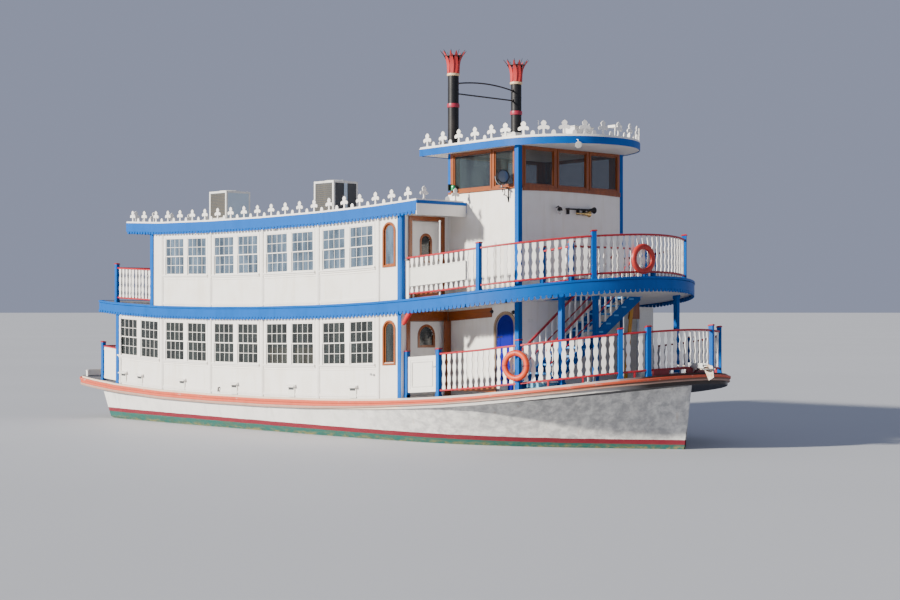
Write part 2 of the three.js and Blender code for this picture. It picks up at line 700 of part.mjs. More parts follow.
// An upright board, long in the direction turn, centred on x, y.
function board([x, y, turn], long, thick, z0, z1) {
  const geometry = new THREE.BoxGeometry(long, thick, z1 - z0);
  geometry.rotateZ(turn);
  geometry.translate(x, y, (z0 + z1) / 2);
  return solid(geometry);
}

// Places spaced evenly along a path as [x, y, direction], the first half a step in.
function spread(path, step) {
  const found = [];
  let run = step / 2;
  for (let i = 0; i + 1 < path.length; i += 1) {
    const [p, q] = [path[i], path[i + 1]];
    const long = Math.hypot(q[0] - p[0], q[1] - p[1]);
    const turn = Math.atan2(q[1] - p[1], q[0] - p[0]);
    for (; run < long; run += step) {
      found.push([p[0] + Math.cos(turn) * run, p[1] + Math.sin(turn) * run, turn]);
    }
    run -= long;
  }
  return found;
}

// The level parts of a run of railing on a path of [x, y] points. Posts are [x, y, top].
// open says where the slats are left out.
function railing({ path, floor, posts, tall = RAIL.top, open = () => false }) {
  const { wide, bar, bottom, pitch, slat, slatThick, post, cap, capThick } = RAIL;
  const parts = [
    sweep(path, wide, floor + tall - bar, floor + tall),
    sweep(path, wide, floor + bottom, floor + bottom + bar),
  ];
  const clear = (x, y) => posts.every(([px, py]) => Math.hypot(px - x, py - y) > post);
  for (const place of spread(path, pitch)) {
    if (!clear(place[0], place[1]) || open(place)) continue;
    parts.push(board(place, slat, slatThick, floor + bottom + 20, floor + tall - 20));
  }
  for (const [x, y, top] of posts) {
    const h = post / 2;
    const c = cap / 2;
    const head = top || floor + tall + 90;
    parts.push(box(x - h, x + h, y - h, y + h, floor + GAP, head));
    if (!top) parts.push(box(x - c, x + c, y - c, y + c, head - 5, head + capThick));
  }
  return parts;
}

const ANCHOR = { x0: 9950, x1: 10960, h: 190, gateway: 280 };

const ringPoint = (cx, r, angle) => arc(cx, 0, r, r, angle, angle, 1)[0];

function makeRailings() {
  const mainPosts = [-77, -35, -23, 16, 29, 77];
  const main = railing({
    path: [
      [GATE_POST_X, -MAIN_RAIL_R],
      ...arc(MAIN_DECK.bowX, 0, MAIN_RAIL_R, MAIN_RAIL_R, -90, 90, ROUND),
      [GATE_POST_X, MAIN_RAIL_R],
    ],
    floor: MAIN_DECK.top,
    posts: [
      [GATE_POST_X, -MAIN_RAIL_R],
      ...mainPosts.map((a) => ringPoint(MAIN_DECK.bowX, MAIN_RAIL_R, a)),
      [GATE_POST_X, MAIN_RAIL_R],
    ],
    open: ([x, y]) => x > MAIN_DECK.bowX && Math.abs(y) < ANCHOR.gateway,
  });
  const anchorWay = box(MAIN_DECK.bowX, 11000, -ANCHOR.gateway, ANCHOR.gateway, 80, 800);
  putOnSheer("main_deck_rail", "white", main, [anchorWay]);

  const start = CABIN_FRONT + 75;
  const columnTop = CABIN_ROOF.bottom - GAP;
  const upper = railing({
    path: [
      [start, -UPPER_RAIL_R],
      ...arc(UPPER_DECK.bowX, 0, UPPER_RAIL_R, UPPER_RAIL_R, -90, 90, ROUND),
      [start, UPPER_RAIL_R],
    ],
    floor: UPPER_DECK.top,
    posts: [
      [start, -UPPER_RAIL_R, columnTop],
      ...[-80, -31, 31, 80].map((a) => ringPoint(UPPER_DECK.bowX, UPPER_RAIL_R, a)),
      [start, UPPER_RAIL_R, columnTop],
    ],
  });
  const boards = [-1, 1].map((side) => {
    const ys = [side * (UPPER_RAIL_R + 8), side * (UPPER_RAIL_R + 40)].sort((a, b) => a - b);
    return box(4170, 6170, ...ys, UPPER_DECK.top + 330, UPPER_DECK.top + 790);
  });
  putOnSheer("upper_deck_rail", "white", [...upper, ...boards]);

  const upperAft = UPPER_CABIN_AFT - 75;
  const sternRail = railing({
    path: [
      [upperAft, -3370], [UPPER_STERN_RAIL, -3370], [UPPER_STERN_RAIL, 3370], [upperAft, 3370],
    ],
    floor: UPPER_DECK.top,
    posts: [
      [upperAft, -3370, columnTop],
      ...[-3370, -1120, 1120, 3370].map((y) => [UPPER_STERN_RAIL, y]),
      [upperAft, 3370, columnTop],
    ],
  });
  putOnSheer("upper_stern_rail", "white", sternRail);

  const lowerAft = LOWER_CABIN_AFT - 75;
  const deckHead = UPPER_DECK.bottom - GAP;
  const mainStern = railing({
    path: [[lowerAft, -3370], [-9980, -3370], [-9980, 3370], [lowerAft, 3370]],
    floor: MAIN_DECK.top,
    posts: [
      [lowerAft, -3370, deckHead], [-9980, -3370], [-9980, -1120], [-9980, 1120], [-9980, 3370],
      [lowerAft, 3370, deckHead],
    ],
  });
  const panels = [-1, 1].map((side) =>
    box(-9980, lowerAft, side * 3370 - 15, side * 3370 + 15, MAIN_DECK.top + 60, MAIN_DECK.top + 1060));
  putOnSheer("main_stern_rail", "white", [...mainStern, ...panels]);

  const well = railing({
    path: [[7010, -1560], [7960, -1560], [7960, 1250]],
    floor: UPPER_DECK.top,
    posts: [[7010, -1560], [7960, -1560], [7960, 1250]],
    tall: 980,
  });
  putOnSheer("stairwell_rail", "white", well);
}

// Gates close the gaps in the main deck rail beside the cabin's front corners.
const GATE = { from: CABIN_FRONT + GAP + RAIL.post + RUN, to: 5100, foot: 130, tall: 900, thick: 44 };

function makeGates() {
  const foot = MAIN_DECK.top + GATE.foot;
  const y = MAIN_RAIL_R;
  const leaf = box(GATE.from, GATE.to, y - GATE.thick / 2, y + GATE.thick / 2, foot, foot + GATE.tall);
  const post = RAIL.post / 2;
  const x = CABIN_FRONT + GAP + post;
  const postTop = MAIN_DECK.top + RAIL.postTop;
  const standard = box(x - post, x + post, y - post, y + post, LEVELS.lower.foot, postTop);
  const cap = box(x - post, x + post + 15, y - 70, y + 70, postTop - 5, postTop + RAIL.capThick);
  for (const [hand, side] of [["port", 1], ["starboard", -1]]) {
    const turn = side > 0 ? (b) => b : mirrored;
    const hinges = barrels(GATE.from, y - GATE.thick / 2, foot, GATE.tall);
    putOnSheer("boarding_gate_" + hand, "white", [leaf, ...hinges].map(turn));
    putOnSheer("gate_post_" + hand, "blue", [turn(standard), turn(cap)]);
  }
}

// Stair from the main deck up to the well in the upper deck

function makeStair() {
  const { aft, fore, footY, headY, steps, string, deep, tread } = STAIR;
  const middle = (aft + fore) / 2;
  const footZ = overSheer(middle, MAIN_DECK.top);
  const headZ = overSheer(middle, UPPER_DECK.top);
  const rise = (headZ - footZ) / steps;
  const go = (headY - footY) / steps;
  const parts = [];
  for (const x of [aft, fore - string]) {
    const ground = overSheer(x + string, MAIN_DECK.top) + GAP;
    const outline = [
      [footY - 60, ground],
      [footY + 190, ground],
      [headY, headZ - deep - 60],
      [headY, headZ + 20],
      [headY - 120, headZ + 20],
      [footY - 60, footZ + 130],
    ];
    parts.push(alongX(outline, x, x + string));
  }
  for (let i = 1; i < steps; i += 1) {
    const y = footY + go * (i - 1);
    parts.push(box(aft + 10, fore - 10, y, y + go + 30, footZ + rise * i - tread, footZ + rise * i));
  }
  for (const x of [aft + string / 2, fore - string / 2]) {
    const line = (y, up) => footZ + ((y - footY) * (headZ - footZ)) / (headY - footY) + up;
    const [y0, y1] = [footY + 40, headY - 40];
    const outline = [[y0, line(y0, 900)], [y1, line(y1, 900)], [y1, line(y1, 960)], [y0, line(y0, 960)]];
    parts.push(alongX(outline, x - 22, x + 22));
    for (let i = 0; i <= 8; i += 1) {
      const y = y0 + 20 + ((y1 - y0 - 40) * i) / 8;
      parts.push(box(x - 12, x + 12, y - 20, y + 20, line(y, 20), line(y, 930)));
    }
  }
  put("stair", "blue", surface(corners(join(parts))));
}

// Stacks

const STACK = { x: 3460, y: 1200, r: 145, collar: 9550, band: 8750, crown: 720, crownR: 370, spikes: 10 };

function stackBody(side) {
  const foot = overWheelhouse(STACK.x + 200, WHEELHOUSE.head + WHEELHOUSE_ROOF.thick) + GAP;
  const { x, r, collar, band, crown, crownR, spikes } = STACK;
  const y = side * STACK.y;
  const at = (z0, z1, r0, r1 = r0) => cylinderZ(x, y, z0, z1, r0, 16, r1);
  const parts = [
    at(foot, foot + 70, 190),
    at(foot + 60, collar, r),
    at(band - 45, band + 45, r + 20),
    at(collar - 10, collar + 60, r + 25),
    at(collar + 50, collar + 330, r - 30, r + 25),
  ];
  for (let i = 0; i < spikes; i += 1) {
    const spike = new THREE.CylinderGeometry(6, 52, crown - 250, 4);
    const lean = Math.atan2(crownR - r, crown - 250);
    spike.rotateX(Math.PI / 2).translate(0, 0, (crown - 250) / 2);
    spike.rotateY(lean).translate(r - 35, 0, collar + 250);
    spike.rotateZ((i * 2 * Math.PI) / spikes).translate(x, y, 0);
    parts.push(solid(spike));
  }
  return join(parts);
}

function makeStacks() {
  const tie = { wide: 40, low: 9060, high: 9330, arch: 90 };
  const reach = STACK.y - STACK.r - GAP;
  const [x0, x1] = [STACK.x - tie.wide / 2, STACK.x + tie.wide / 2];
  const low = box(x0, x1, -reach - 30, reach, tie.low, tie.low + tie.wide);
  const chords = 10;
  const curve = Array.from({ length: chords + 1 }, (_, i) => {
    const y = -reach - 30 + ((2 * reach + 30) * i) / chords;
    return [y, tie.high + tie.arch * (1 - (y / reach) ** 2)];
  });
  const above = curve.map(([y, z]) => [y, z + tie.wide]).reverse();
  const high = alongX([...curve, ...above], x0, x1);
  put("stack_starboard", "black", surface(corners(join([stackBody(-1), low, high]))));
  put("stack_port", "black", surface(corners(stackBody(1))));
}

// Cresting along the roof edges

const CREST = { strip: 45, wide: 40, inset: 30, thick: 22 };
const CABIN_CREST = { tall: 330, pitch: 600 };
const WHEELHOUSE_CREST = { tall: 350, pitch: 490 };
// Half of a finial's outline, as shares of its height: [out, up]
const FINIAL = [[0.09, 0], [0.44, 0.3], [0.44, 0.5], [0.13, 0.58], [0.2, 0.76], [0, 1]];

function finial([x, y, turn], foot, tall) {
  const right = FINIAL.map(([out, up]) => new THREE.Vector2(out * tall, up * tall));
  const left = FINIAL.slice(0, -1).reverse().map(([out, up]) => new THREE.Vector2(-out * tall, up * tall));
  const shape = new THREE.Shape([...right, ...left]);
  const geometry = new THREE.ExtrudeGeometry(shape, { depth: CREST.thick, bevelEnabled: false });
  geometry.translate(0, 0, -CREST.thick / 2).rotateX(Math.PI / 2).rotateZ(turn).translate(x, y, foot);
  return solid(geometry);
}

// A moulding along the legs of a path, with finials spaced evenly on each leg.
function cresting(legs, foot, { tall, pitch }, closed) {
  const path = legs.flat().filter((p, i, all) => i === 0 || p[0] !== all[i - 1][0] || p[1] !== all[i - 1][1]);
  if (closed) path.pop();
  const parts = [sweep(path, CREST.wide, foot + GAP, foot + CREST.strip, closed)];
  for (const leg of legs) {
    const long = leg.slice(1).reduce((sum, q, i) => sum + Math.hypot(q[0] - leg[i][0], q[1] - leg[i][1]), 0);
    const step = long / Math.round(long / pitch) - 1e-6;
    for (const place of spread(leg, step)) parts.push(finial(place, foot + CREST.strip - 5, tall));
  }
  return parts;
}

function makeCrestings() {
  const { half, aft, front, top } = CABIN_ROOF;
  const [x0, x1, y] = [aft + CREST.inset, front - CREST.inset, half - CREST.inset];
  const inner = TOWER.half + 90;
  const cabin = [
    [[x1, -inner], [x1, -y]], [[x1, -y], [x0, -y]], [[x0, -y], [x0, y]],
    [[x0, y], [x1, y]], [[x1, y], [x1, inner]],
  ];
  putOnSheer("cabin_cresting", "white", cresting(cabin, top, CABIN_CREST, false));

  const roof = WHEELHOUSE_ROOF;
  const [w, back] = [roof.half - CREST.inset, roof.aft + CREST.inset];
  const nose = arc(roof.noseX, 0, roof.nose - CREST.inset, w, -90, 90, 16);
  const [near, far] = [nose[0], nose[nose.length - 1]];
  const wheelhouse = [[[back, -w], near], nose, [far, [back, w]], [[back, w], [back, -w]]];
  const rim = join(cresting(wheelhouse, WHEELHOUSE.head + roof.thick, WHEELHOUSE_CREST, true));
  put("wheelhouse_cresting", "white",
    surface(corners(rim).map(([x, y1, z]) => [x, y1, overWheelhouse(x, z)])));
}

// Fittings

// A tall locker on the foredeck, to port of the stair
const LOCKER = { x0: 6980, x1: 7480, y0: 1570, y1: 2170, tall: 2050 };

function makeLocker() {
  const { x0, x1, y0, y1, tall } = LOCKER;
  putOnSheer("bow_locker", "white", box(x0, x1, y0, y1, MAIN_DECK.top + GAP, MAIN_DECK.top + tall));
}

const COOLER = { long: 1050, wide: 800, tall: 900, foot: 70 };

function makeCooler(name, x, y) {
  const { long, wide, tall, foot } = COOLER;
  const base = overSheer(x, CABIN_ROOF.top);
  const parts = [
    box(x - long / 2, x + long / 2, y - wide / 2, y + wide / 2, base + foot, base + tall),
    cylinderZ(x, y, base + tall - 5, base + tall + 50, 330, 20),
  ];
  for (const hand of [-1, 1]) {
    const px = x + hand * (long / 2 - 90);
    const ground = Math.max(overSheer(px - 50, CABIN_ROOF.top), overSheer(px + 50, CABIN_ROOF.top));
    parts.push(box(px - 50, px + 50, y - wide / 2, y + wide / 2, ground + GAP, base + foot + 5));
  }
  put(name, "white", surface(corners(join(parts))));
}

// How far the corners of a square post stand out from a rail that bends round it.
function postReach(angle) {
  const a = THREE.MathUtils.degToRad(angle);
  return (RAIL.post / 2) * (Math.abs(Math.cos(a)) + Math.abs(Math.sin(a)));
}

// A ring hung on the outside of a round rail, against what stands out by reach.
function makeLifeRing(name, cx, r, angle, reach, h) {
  const ring = new THREE.TorusGeometry(300, 72, 8, 18);
  const a = THREE.MathUtils.degToRad(angle);
  const out = r + reach + 72 + GAP;
  ring.rotateY(Math.PI / 2).rotateZ(a);
  const x = cx + out * Math.cos(a);
  ring.translate(x, out * Math.sin(a), sheer(x) + h);
  put(name, "orange", surface(corners(solid(ring))));
}

function makeAnchor() {
  const level = sheer(10690);
  const { x0, x1, h } = ANCHOR;
  const z = level + h;
  const parts = [
    box(x0, x1, -22, 22, z - 35, z + 35),
    alongY(
      [[x1 - 60, z + 60], [x1 - 160, z - 60], [x1 - 20, z - 330], [x1 + 130, z - 250], [x1 + 90, z + 20]],
      -14, 14,
    ),
    slab([[x1 - 120, -230], [x1 + 160, 0], [x1 - 120, 230], [x1 - 60, 0]], z - 90, z - 50),
  ];
  for (const side of [-1, 1]) {
    parts.push(alongY(
      [[10200, overSheer(10200, MAIN_DECK.top) + GAP], [10440, overSheer(10440, MAIN_DECK.top) + GAP],
        [10660, z - 40], [10800, z - 40], [10800, z + 80], [10300, z + 80]],
      side * 60 - 8, side * 60 + 8,
    ));
  }
  for (const x of [10330, 10740]) {
    const pin = new THREE.CylinderGeometry(24, 24, 130, 12);
    pin.translate(x, 0, z + 5);
    parts.push(solid(pin));
  }
  put("anchor", "steel", surface(corners(join(parts))));
}

// A lamp on a bracket at the wheelhouse's starboard front corner.
const SEARCHLIGHT = { x: 6130, y: -2110, z: 6675, r: 170, deep: 210 };

function makeSearchlight() {
  const { x, y, z, r, deep } = SEARCHLIGHT;
  const wall = -TOWER.half - GAP;
  const drum = new THREE.CylinderGeometry(r, r * 0.8, deep, 20);
  drum.rotateZ(-Math.PI / 2).rotateZ(-0.35).translate(x, y, z);
  const parts = [
    solid(drum),
    box(x - 30, x + 30, y - 30, y + 30, z - r - 90, z - r * 0.7),
    box(x - 40, x + 40, y - 60, wall, z - r - 110, z - r - 80),
    alongX(
      [[wall, z - r - 90], [wall, z - r - 420], [wall - 40, z - r - 400], [y - 30, z - r - 100]],
      x - 10, x + 10,
    ),
  ];
  put("searchlight", "black", surface(corners(join(parts))));
}

makeHull();
makeDecks();
makeSideWall("lower_wall_starboard", "lower", -1);
makeSideWall("lower_wall_port", "lower", 1);
makeFrontWall("lower_wall_front", "lower");
makeAftWall("lower_wall_aft", "lower");
makeSideWall("upper_wall_starboard", "upper", -1);
makeSideWall("upper_wall_port", "upper", 1);
makeFrontWall("upper_wall_front", "upper");
makeAftWall("upper_wall_aft", "upper");
makeTower();
makeWheelhouse();
makeHelm();
makeColumns();
makeRailings();
makeGates();
makeStair();
makeStacks();

const frontX = CABIN_FRONT - WALL;
for (const level of ["lower", "upper"]) {
  for (const [hand, side] of [["starboard", -1], ["port", 1]]) {
    makeCrossDoor(level + "_front_door_" + hand, "white", frontX, side, frontX, FRONT_DOOR[level]);
  }
  const inner = LEVELS[level].aft + WALL;
  makeCrossDoor(level + "_aft_door", "white", inner - DOOR_THICK, 1, inner, AFT_DOOR[level]);
}
makeTowerDoor("tower_door_starboard", -1);
makeTowerDoor("tower_door_port", 1);

for (const [hand, side] of [["starboard", -1], ["port", 1]]) {
  makePropeller("propeller_" + hand, side);
  makeRudder("rudder_" + hand, side);
}

makeCrestings();
makeLocker();
makeCooler("cooler_aft", -7050, -700);
makeCooler("cooler_forward", -1950, -700);
makeLifeRing("life_ring_main", MAIN_DECK.bowX, MAIN_RAIL_R, -77, postReach(-77), 630);
makeLifeRing("life_ring_upper", UPPER_DECK.bowX, UPPER_RAIL_R, -9, RAIL.wide / 2, 2980);
makeAnchor();
makeSearchlight();

export default boat;
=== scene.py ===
"""A two-deck river excursion boat with twin stacks, galleries and a raised wheelhouse."""

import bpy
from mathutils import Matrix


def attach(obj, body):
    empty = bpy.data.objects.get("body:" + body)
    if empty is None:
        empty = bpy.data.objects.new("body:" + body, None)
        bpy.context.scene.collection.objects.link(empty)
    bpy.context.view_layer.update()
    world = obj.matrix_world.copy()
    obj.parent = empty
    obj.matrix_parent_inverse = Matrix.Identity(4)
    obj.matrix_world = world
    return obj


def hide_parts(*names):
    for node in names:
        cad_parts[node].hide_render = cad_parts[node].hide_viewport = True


bl_info = {
    "name": "River excursion boat",
    "version": (1, 0, 0),
    "blender": (4, 5, 0),
    "location": "View3D > Sidebar > Boat",
    "description": "Dresses the boat's solids with planking, rails, sashes, trim and paint",
    "category": "Object",
}

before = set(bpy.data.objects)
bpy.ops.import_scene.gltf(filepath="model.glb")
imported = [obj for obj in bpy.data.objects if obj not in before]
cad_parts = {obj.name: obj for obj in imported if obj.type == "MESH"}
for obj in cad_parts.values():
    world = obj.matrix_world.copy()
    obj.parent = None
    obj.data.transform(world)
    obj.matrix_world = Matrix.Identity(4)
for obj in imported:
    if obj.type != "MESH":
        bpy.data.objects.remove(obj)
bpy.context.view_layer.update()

import math

import bmesh
import bpy
from mathutils import Vector

HULL_BODY = "boat"

# Sizes are in metres; heights of decks and walls are measured from the sheer line.
BAY = 2.42
FIRST_BAY = -9.05
DECK_TOP, DECK_FOOT = 0.05, -0.22
UPPER_TOP, UPPER_FOOT = 2.53, 2.28
ROOF_TOP, ROOF_FOOT = 4.98, 4.72
HOUSE_TOP, HOUSE_FOOT = 7.57, 7.395
MAIN_EDGE = {"half": 3.54, "bow": 7.07, "stern": -11.22, "corner": 0.4}
UPPER_EDGE = {"half": 3.58, "bow": 5.95, "stern": -9.9, "corner": 0.06}
ROOF = {"half": 3.62, "aft": -8.34, "front": 4.62}
WALL_Y = 3.485
TOWER_Y = 1.86
TOWER_FRONT = 6.6
CABIN_FRONT = 3.95
WINDOW = {"wide": 0.93, "gap": 0.18}
LEVELS = {
    "lower": {"foot": 0.05, "head": 2.28, "sill": 0.945, "glass": 1.13, "aft": -9.05, "bays": (0, 1, 2, 3, 4)},
    "upper": {"foot": 2.53, "head": 4.72, "sill": 3.455, "glass": 1.08, "aft": -7.2, "bays": (1, 2, 3, 4)},
}
SIDES = (("starboard", -1), ("port", 1))
# The sheer line is straight between these places.
STATIONS = [-11.6, -10.3, FIRST_BAY]
STATIONS += [FIRST_BAY + BAY * n for n in (1, 2, 3, 4, 4.5, 5, 5.5, 6, 6.5, 7, 7.5, 8)] + [11.6]


def curve(x):
    forward = max(0, (x + 5) / 15.37)
    aft = min(0, x + 2.35)
    stern = min(0, x + 6.63)
    return 0.905 + 0.85 * forward**3 + 0.0024 * aft * aft + 0.008 * stern * stern


def sheer(x):
    i = 1
    while i < len(STATIONS) - 1 and x > STATIONS[i]:
        i += 1
    a, b = STATIONS[i - 1], STATIONS[i]
    share = (x - a) / (b - a)
    return curve(a) * (1 - share) + curve(b) * share


def house_rise(x):
    """The wheelhouse roof climbs a little towards the bow."""
    return 0.019 * (x - 4.05)


def polar(cx, radius, degrees):
    turn = math.radians(degrees)
    return cx + radius * math.cos(turn), radius * math.sin(turn)


def arc(cx, cy, rx, ry, start, end, chords):
    turns = [math.radians(start + (end - start) * i / chords) for i in range(chords + 1)]
    return [(cx + rx * math.cos(a), cy + ry * math.sin(a)) for a in turns]


def circle(x, y, z, radius, count, extra=0):
    turns = [2 * math.pi * k / count for k in range(count + extra)]
    return [(x + radius * math.cos(a), y + radius * math.sin(a), z) for a in turns]


def edge_path(plan, grow, chords=60):
    """A deck's edge from its stern, up the starboard side, round the bow and back to port."""
    h, r, back = plan["half"] + grow, plan["corner"] + grow, plan["stern"] - grow
    near = arc(back + r, -h + r, r, r, -180, -90, 12 if r > 0.2 else 2)
    return near + arc(plan["bow"], 0, h, h, -90, 90, chords) + [(x, -y) for x, y in reversed(near)]


# Node trees

def node(tree, kind, inputs=None, **settings):
    made = tree.nodes.new(kind)
    for key, value in settings.items():
        setattr(made, key, value)
    for key, value in (inputs or {}).items():
        socket = made.inputs[key]
        if isinstance(value, bpy.types.NodeSocket):
            tree.links.new(value, socket)
        else:
            socket.default_value = value
    return made


def maths(tree, operation, a, b=0.5):
    return node(tree, "ShaderNodeMath", {0: a, 1: b}, operation=operation).outputs[0]


def new_tree(name, sockets):
    tree = bpy.data.node_groups.new(name, "GeometryNodeTree")
    face = tree.interface
    for way in ("OUTPUT", "INPUT"):
        face.new_socket("Geometry", in_out=way, socket_type="NodeSocketGeometry")
    for label, kind in sockets:
        face.new_socket(label, in_out="INPUT", socket_type="NodeSocket" + kind)
    return tree, node(tree, "NodeGroupInput").outputs


def geo(tree, kind, inputs, **settings):
    return node(tree, "GeometryNode" + kind, inputs, **settings).outputs[0]


def close_tree(tree, geometry, paint):
    whole = geo(tree, "RealizeInstances", {"Geometry": geometry})
    node(tree, "NodeGroupOutput", {0: geo(tree, "SetMaterial", {"Geometry": whole, "Material": paint})})
    return tree


def units_tree(name):
    """Copies of a unit spread evenly along each path: its X lies along the path and its Z is up."""
    tree, given = new_tree(name, [("Unit", "Object"), ("Spacing", "Float"), ("Paint", "Material")])
    path = geo(tree, "MeshToCurve", {"Mesh": given["Geometry"]})
    length = geo(tree, "SplineLength", {})
    share = maths(tree, "DIVIDE", length, given["Spacing"])
    count = maths(tree, "MAXIMUM", maths(tree, "ROUND", share), 1)
    half = maths(tree, "MULTIPLY", maths(tree, "DIVIDE", length, count), 0.5)
    end = maths(tree, "SUBTRACT", length, half)
    trim = geo(tree, "TrimCurve", {"Curve": path, 4: half, 5: end}, mode="LENGTH")
    even = geo(tree, "ResampleCurve", {"Curve": trim, "Count": count}, mode="COUNT")
    points = node(tree, "GeometryNodeCurveToPoints", {"Curve": even}, mode="EVALUATED").outputs
    turn = node(tree, "FunctionNodeAlignRotationToVector", {"Vector": points["Tangent"]},
                axis="X", pivot_axis="Z").outputs[0]
    unit = node(tree, "GeometryNodeObjectInfo", {"Object": given["Unit"]}).outputs["Geometry"]
    copies = geo(tree, "InstanceOnPoints", {"Points": points["Points"], "Instance": unit, "Rotation": turn})
    return close_tree(tree, copies, given["Paint"])


def bars_tree(name):
    """At each point a row of bars of one size, each a step from the last."""
    tree, given = new_tree(name, [("Bar", "Vector"), ("Start", "Vector"), ("Step", "Vector"), ("Count", "Int"),
                                  ("Paint", "Material")])
    bar = geo(tree, "MeshCube", {"Size": given["Bar"]})
    line = geo(tree, "MeshLine", {
        "Count": given["Count"], "Start Location": given["Start"], "Offset": given["Step"]})
    row = geo(tree, "InstanceOnPoints", {"Points": line, "Instance": bar})
    spots = geo(tree, "MeshToPoints", {"Mesh": given["Geometry"]})
    rows = geo(tree, "InstanceOnPoints", {"Points": spots, "Instance": row})
    return close_tree(tree, rows, given["Paint"])


def new_object(name, mesh):
    made = bpy.data.objects.new(name, mesh)
    bpy.context.scene.collection.objects.link(made)
    return made


def throw_away(thing):
    mesh = thing.data
    bpy.data.objects.remove(thing)
    bpy.data.meshes.remove(mesh)


def grown(tree_name, make_tree, paths, paint, **values):
    """The plain mesh that a tree makes from paths or points; a path is a list of places."""
    tree = bpy.data.node_groups.get(tree_name) or make_tree(tree_name)
    edges, run = [], 0
    for path in paths:
        edges += [(run + i, run + i + 1) for i in range(len(path) - 1)]
        run += len(path)
    seed = bpy.data.meshes.new("seed")
    seed.from_pydata([Vector(p).to_3d() for path in paths for p in path], edges, [])
    carrier = new_object("seed", seed)
    modifier = carrier.modifiers.new("grow", "NODES")
    modifier.node_group = tree
    values["Paint"] = finish(paint)
    for item in tree.interface.items_tree:
        if item.in_out == "INPUT" and item.name in values:
            modifier[item.identifier] = values[item.name]
    bpy.context.view_layer.update()
    graph = bpy.context.evaluated_depsgraph_get()
    mesh = bpy.data.meshes.new_from_object(carrier.evaluated_get(graph))
    throw_away(carrier)
    return mesh


# Pieces

SMOOTH_LIMIT = math.radians(32)
BEVEL_LIMIT = math.radians(40)
PLACES = {"x": lambda p, t: (t, p[0], p[1]), "y": lambda p, t: (p[0], t, p[1]), "z": lambda p, t: (p[0], p[1], t)}


